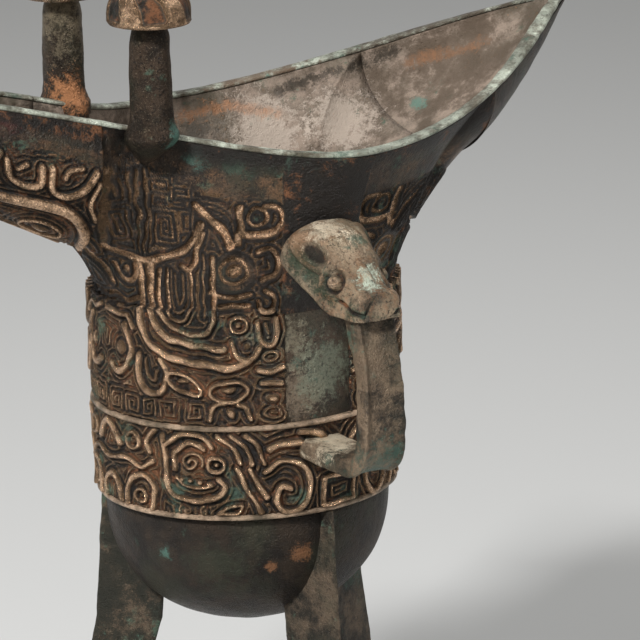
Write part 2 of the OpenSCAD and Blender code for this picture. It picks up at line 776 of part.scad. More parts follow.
module post() {
    foot_z = post_rim[2];
    difference() {
        translate([-post_x, post_span / 2, 0])
            rotate_extrude()
            polygon([
                [0, foot_z - post_root],
                [post_d / 8, foot_z - post_root],
                [post_d / 2, foot_z - 1],
                [post_d / 2 * post_swell, lerp(foot_z, cap_z, post_swell_at)],
                [post_neck_d / 2, cap_z - neck_h],
                [post_neck_d / 2, cap_z],
                [tenon_d / 2, cap_z],
                [tenon_d / 2, cap_z + tenon_l],
                [0, cap_z + tenon_l]
            ]);
        rim_saddle();
    }
}

// A cap's knob and the step round its foot, and the bevel at the cap's lower edge
knob_h = 2.4;
knob_step = 0.6;
cap_bevel = 0.8;

module cap() {
    shoulder = cap_z + cap_edge;
    dome = cap_h - cap_edge - knob_h - knob_step;
    knob_z = cap_z + cap_h - knob_h;
    socket = tenon_d / 2 + tenon_gap;
    translate([-post_x, post_span / 2, 0])
        rotate_extrude()
        polygon(concat(
            [[socket, cap_z], [cap_d / 2 - cap_bevel, cap_z], [cap_d / 2, cap_z + cap_bevel]],
            [for (i = [0 : 10])
                let (a = 90 * i / 10)
                [lerp(knob_d / 2 + knob_step, cap_d / 2, cos(a)), shoulder + dome * sin(a)]],
            [[knob_d / 2, knob_z]],
            [for (i = [0 : 6])
                let (a = 90 * i / 6)
                [knob_d / 2 * cos(a), knob_z + knob_h * sin(a)]],
            [[0, cap_z + tenon_l + tenon_gap], [socket, cap_z + tenon_l + tenon_gap]]
        ));
}

module mirrored() {
    mirror([0, 1, 0]) children();
}

module post_handle_side() {
    color(bronze)
    mirrored() post();
}

module post_far_side() {
    color(bronze)
    post();
}

module cap_handle_side() {
    color(worn)
    mirrored() cap();
}

module cap_far_side() {
    color(worn)
    cap();
}

// A blade leg along +X: a three-cornered section with its ridge outward, fitted to the bowl
module leg(angle) {
    rings = [
        [leg_foot_r, foot_depth, foot_w, 0],
        [cup_l / 2 + leg_mid_out, leg_depth, leg_w, bowl_z],
        [cup_l / 2 * draw + leg_top_out, leg_depth, leg_w, band_foot_z]
    ];
    points = flat([for (r = rings)
        [[r[0], 0, r[3]], [r[0] - r[1], r[2] / 2, r[3]], [r[0] - r[1], -r[2] / 2, r[3]]]]);
    sides = flat([for (j = [0, 1], i = [0 : 2])
        let (a = 3 * j + i, b = 3 * j + (i + 1) % 3)
        [[a, b + 3, b], [a, a + 3, b + 3]]]);
    color(bronze)
    difference() {
        rotate([0, 0, angle])
            polyhedron(points, concat([[0, 1, 2], [8, 7, 6]], sides));
        egg(bowl_fit);
    }
}

module leg_handle_side() {
    leg(leg_a_handle);
}

module leg_tail_side() {
    leg(leg_a_tail);
}

module leg_spout_side() {
    leg(leg_a_spout);
}

placed() cup_bowl();
placed() cup_wall();
placed() flared_mouth();
placed() tail();
placed() spout();
placed() mouth_lip();
placed() spout_lip();
placed() upper_mask_band();
placed() lower_dragon_band();
placed() middle_ring();
placed() lower_ring();
placed() handle_strap();
placed() handle_head();
placed() post_handle_side();
placed() post_far_side();
placed() cap_handle_side();
placed() cap_far_side();
placed() leg_handle_side();
placed() leg_tail_side();
placed() leg_spout_side();
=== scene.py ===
import math

import bpy
import numpy as np
from mathutils import Matrix, Vector


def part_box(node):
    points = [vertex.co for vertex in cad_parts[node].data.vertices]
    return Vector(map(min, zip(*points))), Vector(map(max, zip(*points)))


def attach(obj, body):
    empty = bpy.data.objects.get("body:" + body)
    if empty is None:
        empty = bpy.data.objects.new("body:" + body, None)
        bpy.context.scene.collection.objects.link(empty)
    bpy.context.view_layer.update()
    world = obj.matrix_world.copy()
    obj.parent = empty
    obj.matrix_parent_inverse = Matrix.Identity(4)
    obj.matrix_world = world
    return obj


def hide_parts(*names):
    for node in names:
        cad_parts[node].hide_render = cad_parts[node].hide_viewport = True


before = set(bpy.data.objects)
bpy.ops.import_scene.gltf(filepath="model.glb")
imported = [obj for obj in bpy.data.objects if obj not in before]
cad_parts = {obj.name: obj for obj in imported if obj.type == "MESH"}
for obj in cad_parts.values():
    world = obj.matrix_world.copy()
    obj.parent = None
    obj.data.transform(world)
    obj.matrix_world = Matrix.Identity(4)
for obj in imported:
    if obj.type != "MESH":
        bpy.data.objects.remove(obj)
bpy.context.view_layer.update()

# A cast bronze jue: a wine cup on three blade legs. Lengths are in millimetres and are turned
# into metres when a mesh is made. Shapes are drawn about the axis of the oval cup, with the
# spout along -X, the tail along +X, the handle along -Y and Z = 0 on the floor.
MM = 0.001


def node_box(name, axis=np.zeros(3)):
    """The lowest and highest corners of a solid, in millimetres, about the given axis."""
    low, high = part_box(name)
    return np.array(low) / MM - axis, np.array(high) / MM - axis


wall_low, wall_high = node_box("cup_wall")
AXIS = (wall_low + wall_high) / 2 * [1, 1, 0]

# Sizes read from the frame
CUP_L, CUP_W, _ = wall_high - wall_low
SEAM_Z = wall_high[2]
BAND_FOOT_Z = wall_low[2]
ring_low, ring_high = node_box("middle_ring", AXIS)
LINE_Z = (ring_low[2] + ring_high[2]) / 2
RING_H = ring_high[2] - ring_low[2]
RING_OUT = ring_high[0] - CUP_L / 2
BOWL_Z = node_box("cup_bowl", AXIS)[0][2]
TAIL_JOINT_X, TAIL_REACH = [corner[0] for corner in node_box("tail", AXIS)]
SPOUT_REACH, SPOUT_JOINT_X = [-corner[0] for corner in node_box("spout", AXIS)]
MOUTH_W = 2 * node_box("flared_mouth", AXIS)[1][1]
RIM_TOP_Z = node_box("mouth_lip", AXIS)[1][2]
SPOUT_TOP_Z = node_box("spout_lip", AXIS)[1][2]
LIP_OUT = node_box("mouth_lip", AXIS)[1][1] - MOUTH_W / 2
HANDLE_REACH = -node_box("handle_strap", AXIS)[0][1]
STRAP_TOP_Z = node_box("handle_strap", AXIS)[1][2]
HEAD_FRONT = -node_box("handle_head", AXIS)[0][1]
post_low, post_high = node_box("post_far_side", AXIS)
POST_X = (post_low[0] + post_high[0]) / 2
CAP_Z, CAP_TOP_Z = [corner[2] for corner in node_box("cap_far_side", AXIS)]
cap_low, cap_high = node_box("cap_far_side", AXIS)
CAP_D = cap_high[0] - cap_low[0]
POST_Y = (cap_low[1] + cap_high[1]) / 2

# The other sizes of the cast shell
METAL_T = 2.6
LIP_H = 1.2
MOUTH_X, MOUTH_Z = 8, 176.2
TAIL_ROOT_H, TAIL_SAG, TAIL_FLOOR, TIP_IN = 18, 2.3, 1.2, 1.5
SPOUT_ROOT_W, SPOUT_END_W = 32.6, 27
SPOUT_ROOT_Z, SPOUT_ROOT_H, SPOUT_END_H = 184.8, 28.5, 20
CUP_DRAW, BOWL_STEP = 1.9, 0.8
HALF_L, HALF_W = CUP_L / 2, CUP_W / 2


def lerp(a, b, t):
    return a + (b - a) * t


def smooth(t):
    t = np.clip(t, 0.0, 1.0)
    return t * t * (3 - 2 * t)


def bezier(p, t):
    s = 1 - t
    return s**3 * p[0] + 3 * s * s * t * p[1] + 3 * s * t * t * p[2] + t**3 * p[3]


def squared(wave, power):
    """A sine or cosine whose circle is swollen towards a square by a power under 1."""
    return np.sign(wave) * np.abs(wave) ** power


def all_angles(count):
    """Angles in degrees, evenly all round."""
    return np.linspace(0, 360, count + 1)[:-1]


def norm(v):
    return v / np.maximum(np.linalg.norm(v, axis=-1, keepdims=True), 1e-9)


def ripple(p, size, seed=1):
    """Smooth seeded unevenness from -1 to 1 over points in millimetres, about size wide."""
    rng = np.random.RandomState(seed)
    total = np.zeros(p.shape[:-1])
    for _ in range(9):
        wave = rng.normal(size=p.shape[-1])
        wave *= 2 * math.pi / size / np.linalg.norm(wave) * rng.uniform(0.6, 1.6)
        total += np.sin(p @ wave + rng.uniform(0, 2 * math.pi))
    return total / 4.5


# The rim of the mouth as four points of a curve, drawn in by t for the inner face


def tail_rim(t):
    return np.array([
        [TAIL_REACH - TIP_IN * t, 0, RIM_TOP_Z],
        [TAIL_REACH - 18 - t, 15 - 0.7 * t, RIM_TOP_Z - 3.6],
        [lerp(MOUTH_X, TAIL_REACH, 0.42), MOUTH_W / 2 + 0.5 - t, MOUTH_Z + 1.2],
        [MOUTH_X, MOUTH_W / 2 - t, MOUTH_Z],
    ])


def side_rim(t):
    return np.array([
        [MOUTH_X, MOUTH_W / 2 - t, MOUTH_Z],
        [MOUTH_X - 16, MOUTH_W / 2 - t, MOUTH_Z - 0.2],
        [-SPOUT_JOINT_X + 22, SPOUT_ROOT_W / 2 - 0.6 - t, MOUTH_Z + 2.3],
        [-SPOUT_JOINT_X, SPOUT_ROOT_W / 2 - t, SPOUT_ROOT_Z],
    ])


def on_curve(curve, x):
    """The half width and the height of a rim curve at each x; the curve runs towards -X."""
    low, high = np.zeros_like(x), np.ones_like(x)
    for _ in range(30):
        middle = (low + high) / 2
        beyond = bezier(curve[:, None, 0], middle) > x
        low, high = np.where(beyond, middle, low), np.where(beyond, high, middle)
    point = bezier(curve[:, None, :], low[:, None])
    return point[:, 1], point[:, 2] - LIP_H


def rim(x, t):
    """Points of the rim's edge at each x, with the height of the outer edge."""
    x = np.asarray(x, float)
    to_tail = x > MOUTH_X
    half = np.where(to_tail, on_curve(tail_rim(t), x)[0], on_curve(side_rim(t), x)[0])
    z = np.where(to_tail, on_curve(tail_rim(0), x)[1], on_curve(side_rim(0), x)[1])
    return np.stack([x, half, z], -1)


TAIL_ROOT_LOW = rim([TAIL_JOINT_X], 0)[0, 2] - TAIL_ROOT_H


def tail_low_z(s):
    return lerp(TAIL_ROOT_LOW, RIM_TOP_Z - LIP_H, s) - TAIL_SAG * 4 * s * (1 - s)


def tail_points(s, k, t):
    """The tail's section: k runs from the rim to the underside, s from the joint to the tip."""
    s, k = np.broadcast_arrays(np.asarray(s, float), np.asarray(k, float))
    x = lerp(TAIL_JOINT_X, TAIL_REACH, s)
    x_in = lerp(TAIL_JOINT_X, TAIL_REACH - TIP_IN * t, s)
    at_tip = s > 0.999
    top = np.where(at_tip, RIM_TOP_Z - LIP_H, rim(x.ravel(), 0)[:, 2].reshape(x.shape))
    low = np.where(at_tip, top, tail_low_z(s) + TAIL_FLOOR * t)
    half = np.where(at_tip, 0, rim(x_in.ravel(), t)[:, 1].reshape(x.shape))
    turn = math.pi / 2 * k
    return np.stack([x_in, half * np.cos(turn), lerp(top, low, np.sin(turn))], -1)


def spout_points(s, k, t):
    """The spout's section: k runs from the rim to the underside, s from the joint to the end."""
    s, k = np.broadcast_arrays(np.asarray(s, float), np.asarray(k, float))
    top = lerp(SPOUT_ROOT_Z, SPOUT_TOP_Z, s) - LIP_H
    low = lerp(SPOUT_ROOT_Z - SPOUT_ROOT_H, SPOUT_TOP_Z - SPOUT_END_H, s) + t
    down = np.sin(math.pi / 2 * k) ** 0.8
    across = np.maximum(np.cos(math.pi / 2 * k), 0) ** 0.8
    return np.stack([
        -lerp(SPOUT_JOINT_X, SPOUT_REACH, s) + s * 0.2 * (top - low) * down,
        (lerp(SPOUT_ROOT_W, SPOUT_END_W, s) / 2 - t) * across,
        lerp(top, low, down),
    ], -1)


TAIL_RISE = math.atan((tail_low_z(0.1) - tail_low_z(0)) / (0.1 * (TAIL_REACH - TAIL_JOINT_X)))
SPOUT_RISE = math.atan(
    (SPOUT_TOP_Z - SPOUT_END_H - SPOUT_ROOT_Z + SPOUT_ROOT_H) / (SPOUT_REACH - SPOUT_JOINT_X)
)

# How far from its joints the mouth bends into line with the tail and the spout
JOINT_BLEND = 14

# Columns of the mouth on one side, from the tail's underside over the rim to the spout's
UNDER_TAIL, FLARE, SIDE, UNDER_SPOUT = 44, 132, 190, 60
rim_xs = np.concatenate([
    np.linspace(TAIL_JOINT_X, MOUTH_X, FLARE + 1),
    np.linspace(MOUTH_X, -SPOUT_JOINT_X, SIDE + 1)[1:],
])


def mouth_edge(t):
    under_tail = tail_points(0, np.linspace(1, 0, UNDER_TAIL + 1)[:-1], t)
    under_spout = spout_points(0, np.linspace(0, 1, UNDER_SPOUT + 1)[1:], t)
    return np.concatenate([under_tail, rim(rim_xs, t), under_spout])


def oval_angle(p):
    return np.degrees(np.arctan2(p[..., 1] / HALF_W, p[..., 0] / HALF_L))


rim_angles = oval_angle(rim(rim_xs, 0))
LEAVE = np.concatenate([
    rim_angles[0] * np.arange(UNDER_TAIL) / UNDER_TAIL,
    rim_angles,
    lerp(rim_angles[-1], 180, np.arange(1, UNDER_SPOUT + 1) / UNDER_SPOUT),
])


def mouth_grid(t, shares):
    """Rows of one side of the mouth, from the seam to the edge: upright at the seam, flared at
    the rim and in line with the tail and the spout at their joints."""
    edge = mouth_edge(t)
    a = np.radians(LEAVE)
    seam_z = np.full_like(a, SEAM_Z)
    seam = np.stack([(HALF_L - t) * np.cos(a), (HALF_W - t) * np.sin(a), seam_z], -1)
    d = edge - seam
    plan = np.hypot(d[:, 0], d[:, 1])
    slope = plan / d[:, 2]
    out = np.where(plan[:, None] < 0.01, 0, d * [1, 1, 0] / np.maximum(plan, 0.01)[:, None])
    flare = norm(out * (2.4 * slope / (1 + 1.7 * slope))[:, None] + [0, 0, 1])
    to_spout = smooth((-edge[:, 0] - SPOUT_JOINT_X) / JOINT_BLEND + 1)[:, None]
    to_tail = smooth((edge[:, 0] - TAIL_JOINT_X) / JOINT_BLEND + 1)[:, None]
    along_spout = np.array([-math.cos(SPOUT_RISE), 0, math.sin(SPOUT_RISE)])
    along_tail = np.array([math.cos(TAIL_RISE), 0, math.sin(TAIL_RISE)])
    end = lerp(lerp(flare, along_spout, to_spout), along_tail, to_tail)
    pull = (0.35 - 0.13 * to_spout) * np.linalg.norm(d, axis=1)[:, None]
    rise = (0.3 * d[:, 2] / (1 + 2.4 * slope))[:, None] * [0, 0, 1]
    curves = [c[None] for c in (seam, seam + rise, edge - end * pull, edge)]
    return bezier(curves, np.asarray(shares, float)[:, None, None])


def all_round(half):
    """The whole ring from the side with y above 0: first the near side, then the far side."""
    near = half * [1, -1, 1]
    return np.concatenate([near, half[:, -2:0:-1]], axis=1)


def oval_share(z):
    """The oval's size at height z, as a share of the full oval."""
    draw = 1 - CUP_DRAW / CUP_L
    share = lerp(1, draw, (LINE_Z - z) / (LINE_Z - BAND_FOOT_Z))
    return np.where(z < LINE_Z, share, 1.0)


def wall_grid(angles, zs, out=0):
    """Rows of the straight wall at heights zs, columns at angles in degrees, out beyond it."""
    z, a = np.meshgrid(zs, np.radians(angles), indexing="ij")
    k = oval_share(z)
    x = (HALF_L * k + out) * np.cos(a)
    y = (HALF_W * k + out) * np.sin(a)
    return np.stack([x, y, z], -1)


# Ornament. A chart is a map of heights over millimetres along and up the wall, and its
# strokes are ridges with worn, rounded tops.


def spline(points, steps=8):
    """A smooth line through given points."""
    p = np.array(points, float)
    if len(p) < 3:
        return p
    p = np.concatenate([2 * p[:1] - p[1:2], p, 2 * p[-1:] - p[-2:-1]])
    line = []
    for a, b, c, d in zip(p[:-3], p[1:-2], p[2:-1], p[3:]):
        for t in np.arange(steps) / steps:
            bend = 2 * a - 5 * b + 4 * c - d
            turn = 3 * b - a - 3 * c + d
            line.append(0.5 * (2 * b + (c - a) * t + bend * t * t + turn * t**3))
    line.append(p[-2])
    return np.array(line)


def ring(centre, rx, ry, start=0, end=360):
    a = np.radians(np.linspace(start, end, 33))
    return np.array(centre) + np.stack([rx * np.cos(a), ry * np.sin(a)], -1)


def coil(centre, radius, turns, start=90, way=1):
    """A round spiral from its outer end to its centre."""
    t = np.linspace(0, 1, int(24 * turns) + 2)
    a = np.radians(start + way * 360 * turns * t)
    r = radius * (1 - 0.88 * t)
    return np.array(centre) + np.stack([r * np.cos(a), r * np.sin(a)], -1)


def square_coil(centre, w, h, pitch, way=1):
    """A square spiral, as in thunder pattern, from its outer corner to its middle."""
    left, right, low, high = -w / 2, w / 2, -h / 2, h / 2
    points = [(left, low)]
    while right - left > pitch * 0.8 and high - low > pitch * 0.8:
        points.append((left, high))
        points.append((right, high))
        points.append((right, low + pitch * 0.4))
        left += pitch
        points.append((left, low + pitch * 0.4))
        low += pitch
        high -= pitch
        right -= pitch
    return np.array(centre) + np.array(points) * [way, 1]


def blur(h, times):
    for _ in range(times):
        for axis in (0, 1):
            h = (np.roll(h, 1, axis) + 2 * h + np.roll(h, -1, axis)) / 4
    return h


class Chart:
    def __init__(self, low, high, step=0.12):
        self.low, self.step = np.array(low, float), step
        size = np.ceil((np.array(high) - self.low) / step).astype(int) + 1
        self.u = self.low[0] + step * np.arange(size[0])
        self.z = self.low[1] + step * np.arange(size[1])
        self.h = np.zeros(size)

    def window(self, line, reach):
        low = np.floor((line.min(0) - reach - self.low) / self.step).astype(int)
        high = np.ceil((line.max(0) + reach - self.low) / self.step).astype(int) + 1
        low, high = np.maximum(low, 0), np.minimum(np.maximum(high, 0), self.h.shape)
        return slice(low[0], high[0]), slice(low[1], high[1])

    def ridge(self, line, width=1.5, height=0.9, power=2.6):
        """Raises a rounded ridge along a line."""
        line = np.asarray(line, float)
        half = width / 2
        for a, b in zip(line[:-1], line[1:]):
            us, zs = self.window(np.array([a, b]), half)
            u, z = self.u[us, None], self.z[None, zs]
            d = b - a
            t = np.clip(((u - a[0]) * d[0] + (z - a[1]) * d[1]) / max(d @ d, 1e-9), 0, 1)
            far = np.hypot(u - a[0] - t * d[0], z - a[1] - t * d[1]) / half
            top = height * (1 - np.clip(far, 0, 1) ** power)
            self.h[us, zs] = np.maximum(self.h[us, zs], top)

    def fill(self, height=0.5, pitch=1.25, first=0.85, width=0.72):
        """Follows the outlines of the forms with fine low lines that fill the ground."""
        far = np.where(self.h > 0.3, 0.0, 99.0)
        shifts = [(0, 1), (1, 0), (1, 2), (2, 1), (0, 0), (0, 2), (2, 0), (2, 2)]
        rows, cols = far.shape
        for _ in range(int(9 / self.step)):
            wide = np.pad(far, 1, constant_values=99)
            for k, (i, j) in enumerate(shifts):
                cost = self.step * (1 if k < 4 else math.sqrt(2))
                far = np.minimum(far, wide[i:i + rows, j:j + cols] + cost)
        phase = np.abs((far - first + pitch / 2) % pitch - pitch / 2)
        lines = height * (1 - np.clip(phase / (width / 2), 0, 1) ** 2.2) * (far > first - width / 2)
        self.h = np.maximum(self.h, lines)

    def dome(self, centre, rx, rz, height, power=2.2):
        """Raises a rounded oval boss."""
        us, zs = self.window(np.array([centre]), max(rx, rz))
        far = np.hypot((self.u[us, None] - centre[0]) / rx, (self.z[None, zs] - centre[1]) / rz)
        top = height * (1 - np.clip(far, 0, 1) ** power)
        self.h[us, zs] = np.maximum(self.h[us, zs], top)

    def draw(self, lines=(), rings=(), domes=()):
        """Raises lines given by width, height and the u and z of their points, rings given by
        width, height, centre and radii, and bosses given by height, centre and radii."""
        for width, height, *places in lines:
            self.ridge(spline(np.reshape(places, (-1, 2))), width, height)
        for width, height, u, z, rx, rz in rings:
            self.ridge(ring((u, z), rx, rz), width, height)
        for height, u, z, rx, rz in domes:
            self.dome((u, z), rx, rz, height)

    def finish(self):
        """Fills the ground with fine lines and wears every edge a little."""
        self.fill()
        self.h = blur(self.h, 1)
        return self

    def at(self, u, z):
        """Heights at places given in millimetres."""
        fu = np.clip((u - self.low[0]) / self.step, 0, self.h.shape[0] - 1.001)
        fz = np.clip((z - self.low[1]) / self.step, 0, self.h.shape[1] - 1.001)
        i, j = fu.astype(int), fz.astype(int)
        a, b = fu - i, fz - j
        near = self.h[i, j] * (1 - b) + self.h[i, j + 1] * b
        far = self.h[i + 1, j] * (1 - b) + self.h[i + 1, j + 1] * b
        return near * (1 - a) + far * a


# Widths and heights of strokes, and the mean radius that turns angles into millimetres
WIDE, THIN, LINE = 2.15, 1.55, 0.66
DEEP, LOW = 0.95, 0.55
GIRTH = 31.85
QUARTER = GIRTH * math.pi / 2


# Half of a mask on the upper band: u runs from its nose to the spout or the tail, z up from the
# line between the bands.
MASK_LINES = [
    (WIDE, 1.05, 45.4, 38.2, 41.5, 36.4, 37.6, 34.9, 33.8, 36.1, 30.4, 37, 27.4, 38.4, 25.6, 40.6,
     24.4, 43.4),
    (THIN, 0.7, 39.4, 56.4, 41.4, 50, 43.7, 42.7, 45.4, 38.2),
    # The long jaw: three nested bands that sweep under the eye
    (WIDE, 1, 36.4, 34, 36.5, 27, 34.6, 21.5, 30.5, 18.9, 25.6, 18, 20.3, 17.4),
    (1.5, DEEP, 34.4, 33.4, 34.3, 26.6, 32.6, 23.1, 29.4, 21, 25.8, 20.2, 22.8, 21.2, 22, 24.4, 22.1,
     30, 22.2, 36.6),
    (WIDE, 1, 38.7, 34, 38.8, 25.6, 37, 18.6, 31.8, 15.3, 25, 14.1, 19.2, 13.2, 15.4, 14.6),
    (LINE, LOW, 24.2, 37, 24, 30, 24.2, 24),
    (1, 0.85, 32.3, 33.6, 32.2, 27.4, 31.2, 24.2, 29.6, 23.1, 27.7, 23.9, 26.8, 26.8, 26.9, 33),
    (1.5, 1, 28.6, 34.6, 27.4, 33.7, 26.2, 34.8, 25.4, 38, 24, 41.6),
    # Brow, horn and eye
    (2.2, 1.15, 25.6, 47.4, 22.6, 44.8, 20, 42.2, 18.2, 38.6),
    (WIDE, DEEP, 16.4, 47, 16.2, 43, 16.8, 39.4),
    (LINE, LOW, 23, 47.6, 20.4, 46.6, 18.4, 44, 17.4, 41),
    (THIN, 0.75, 22.8, 29, 20.4, 28.2, 17.4, 28, 14.6, 28.6),
    (WIDE, DEEP, 15.8, 41.6, 12.6, 41, 9.2, 41.6),
    (THIN, 0.85, 9.2, 41.6, 7.6, 44, 8.6, 46.6, 11, 47),
    # The cheek and the nose: hooks, a small boss and bars
    (THIN, 0.85, 12.8, 37.4, 10, 38, 8.6, 35.6, 9.2, 32.4, 12, 31.6),
    (LINE, LOW, 10.8, 35.6, 10.4, 33.8, 11.8, 33.8),
    (1.4, 0.9, 11.4, 29.4, 9.6, 27.4, 10.2, 25, 12.2, 25, 12.8, 27),
    (THIN, 0.85, 20.6, 25.8, 18, 26.5, 15, 26),
    (1.4, DEEP, 18.4, 18.6, 17.2, 15.6, 14.6, 15, 12.8, 17.4),
    (THIN, 0.9, 13, 22.6, 12.6, 18.9, 10.6, 18, 9.2, 20.4, 9.5, 23.2),
    (LINE, LOW, 11.4, 22.4, 10.9, 20.4),
    (THIN, DEEP, 13.2, 12.6, 10.6, 12.1, 8.2, 12.8),
    (THIN, 0.8, 12.6, 9.6, 10.4, 9.9, 8.3, 9.4),
    # The lower row: lenses, arches and small thunder coils over the line
    (WIDE, 1, 39.4, 14.6, 39, 9.8, 36.8, 7, 33.8, 7.6, 32.4, 11.2, 33.6, 14.4),
    (1, 0.8, 37.2, 14, 36.6, 10.6, 35.2, 10, 34.8, 12),
    (WIDE, 1, 43.2, 20.6, 41.4, 16.6, 42.4, 12.4, 45, 10.4, 47.6, 11.6),
    (THIN, 0.9, 40.4, 20.4, 42.2, 22.8, 45.2, 22.6, 48.6, 23.4),
    (THIN, 0.9, 40, 26.6, 43, 25.8, 46.6, 26.8, 49.6, 26.2),
    (1.5, 1, 44.6, 34.4, 44, 31.4, 41.8, 30, 40, 31.6, 39.8, 34),
    (WIDE, 0.95, 49.4, 36, 47.4, 33, 46.8, 29.6),
    (THIN, 0.8, 23.2, 2.2, 22.4, 4.8, 20.4, 5.6),
    (THIN, 0.8, 15, 2.2, 15.8, 4.8, 17.4, 5.6),
]
MASK_RINGS = [
    (0.75, 0.95, 17.8, 33.4, 2.9, 2.75), (1, DEEP, 12.6, 44.8, 1.9, 1.9),
    (0.8, 0.85, 17.2, 22.4, 1.7, 1.8), (LINE, 0.7, 10.7, 15.4, 1.6, 1.1),
    (LINE, 0.6, 10.4, 3.2, 1.7, 1.3),
]
MASK_DOMES = [
    (1.15, 17.8, 33.4, 2.2, 2.1), (0.8, 17.2, 22.4, 0.9, 0.9), (0.6, 15.4, 17.8, 1, 1),
    (0.85, 10.5, 6.4, 1.8, 1.3), (0.9, 4.4, 20, 2.6, 12), (0.9, 4, 38, 3.2, 8),
    (0.9, 44.4, 15.4, 1.6, 2), (0.7, 42, 33, 1.1, 1.2), (0.75, 19, 3.4, 1.5, 1.5),
]
# Squared spirals: middle, width, height, pitch, way round and the height of the line
THUNDER = [
    (39.4, 51.8, 3.4, 6.6, 1.05, 1, LOW), (41, 43.6, 3.6, 6.4, 1.05, 1, LOW),
    (33.3, 51.4, 4.6, 2.7, 0.95, -1, LOW), (28.5, 50, 3.6, 2.4, 0.9, -1, LOW),
    (32.6, 42.6, 6.6, 7.4, 1.15, -1, LOW), (27.4, 43.8, 2.6, 4.6, 1, 1, LOW),
    (47.6, 47, 3.4, 6.4, 1.05, 1, LOW), (47.8, 38, 3.2, 5, 1.05, -1, LOW),
    (46.4, 3.7, 3.3, 3.4, 1, 1, 0.6), (41.6, 3.7, 3.3, 3.4, 1, -1, 0.6),
    (36.9, 3.7, 3.3, 3.4, 1, 1, 0.6), (32.4, 3.7, 3.3, 3.4, 1, -1, 0.6),
    (25.9, 3.7, 3.3, 3.4, 1, 1, 0.6),
]
# Where the masks end under the plain zone, as u and z, on the spout's side and the tail's
MASK_TOP = [(0, 47), (5, 47.5), (18, 48.6), (26, 50.4), (30.6, 53.4), (39, 57), (45, 59), (52, 60)]
MASK_TOP_TAIL = [(0, 47), (5, 47.5), (18, 48), (26, 48.4), (34, 48), (42, 45), (52, 42)]


def mask_chart():
    c = Chart((0, 0), (QUARTER + 1, 62))
    c.draw(MASK_LINES, MASK_RINGS, MASK_DOMES)
    for u, z, w, h, pitch, way, height in THUNDER:
        c.ridge(square_coil((u, z), w, h, pitch, way), LINE, height)
    for side in (-0.55, 0.55):
        c.draw([(LINE, LOW, 37.6 + side, 36.6, 37 + side, 44, 36.2 + side, 55)])
    for w, low, top in ((1.75, 24.9, 33.6), (0.8, 26.4, 32.8)):
        left, right, knee = 29.5 + w, 29.5 - w, low + 2.2
        c.draw([(LINE, LOW, left, top, left, knee, 29.5, low, right, knee, right, top)])
    c.dome((17.8, 33.2), 5, 4.8, 0.5, 6)
    for u, z, rx, rz, tilt in ((28.6, 9.6, 3.7, 1.9, -0.35), (19.2, 8.1, 3.8, 2.1, 0.06)):
        lens = ring((0, 0), rx, rz)
        lens[:, 1] += tilt * -lens[:, 0]
        c.ridge(lens + [u, z], 1.1, DEEP)
        c.dome((u, z + 0.4), rx * 0.55, rz * 0.45, 0.7)
    return c.finish()


# The lower band: u runs from the middle of the leg under the handle, z up from the line
DRAGON_LINES = [
    (THIN, DEEP, 3.9, -12.6, 0, -12.6),
    (LINE, LOW, 2, -14.8, 0, -14.8),
    (1.8, 1, 16.8, -9.4, 12.6, -7.4, 8.6, -9.4, 7.2, -14, 9.4, -18.4, 12.8, -18.6, 14.6, -16, 13.6,
     -13.2, 11.6, -13.6),
    (WIDE, DEEP, 15.8, -4.6, 12, -3.4, 8, -4.8, 5.4, -8),
    (WIDE, DEEP, 9, -1.6, 5, -2.6, 2, -6, 1.4, -9.6),
    (THIN, 0.9, 22.6, -9, 20.6, -13, 17.6, -18.4),
    (THIN, 0.9, 19.8, -8.8, 18.4, -12.4, 16.4, -15.4),
    # The coiled dragon
    (1.7, 1.05, 38.6, -2.2, 37.6, -7, 37.8, -11.6, 36, -14.8, 30.8, -15.8, 26.6, -14.8, 25, -12.4, 26.4,
     -11),
    (1.6, 1, 37.6, -3.8, 34.6, -1.5, 30.4, -1.6, 27.6, -3.8),
    (THIN, 0.9, 36, -9.2, 35.4, -5.2, 32.2, -3.2, 29.4, -4.6),
    (1, 0.8, 35.8, -10.8, 33.6, -12.6, 30, -12.9, 27.8, -12.4),
    (1, 0.9, 26.6, -18.6, 24.4, -17, 21.6, -16.6, 22.8, -18.4, 26.6, -18.6),
    # Hooks and arches on the way to the spout
    (1.8, 1.05, 42, -18.6, 41, -14, 43.4, -11.8, 46.8, -12.4, 48.8, -15.2, 49, -18.6),
    (1.6, 1, 41.2, -8, 44.4, -9.8, 48.4, -8.4, 54.8, -9.6),
    (THIN, 0.9, 40.4, -1.2, 42.4, -3.6, 41.6, -6),
    (WIDE, 1, 55.6, -0.8, 52.4, -2.8, 50.4, -5.8),
    (WIDE, 0.95, 51.4, -18.4, 52, -14.6, 55.6, -13),
]
DRAGON_RINGS = [
    (1, 1.05, 26.9, -7.7, 1.65, 1.7), (0.9, 0.85, 45, -16.2, 1.5, 1.5),
    (1.1, 0.95, 46.4, -4.2, 2.1, 1.9),
]
DRAGON_DOMES = [
    (0.75, 26.9, -7.7, 0.7, 0.7),
]


def dragon_chart():
    c = Chart((0, -20.5), (56, 0))
    c.draw(DRAGON_LINES, DRAGON_RINGS, DRAGON_DOMES)
    c.ridge([(3.9, -12.6), (3.9, -18.6), (0, -18.6)], THIN, DEEP)
    c.ridge([(2, -14.8), (2, -16.8), (0, -16.8)], LINE, LOW)
    for k in range(3):
        c.draw([(1.3, DEEP, 26.2 - 2.6 * k, -1.4, 23.4 - 2.6 * k, -4, 21.8 - 2.4 * k, -7.6)])
    for k in range(4):
        c.dome((34.4 - 2 * k, -11.2 - 0.25 * k), 0.8, 0.7, 0.8)
    c.ridge(coil((32, -7.4), 2.4, 1.6, 200, -1), 0.85, 0.85)
    for u, way in ((33.6, 1), (29.6, -1)):
        c.ridge(coil((u, -18.1), 1.1, 1.2, 90, way), LINE, 0.7)
    return c.finish()


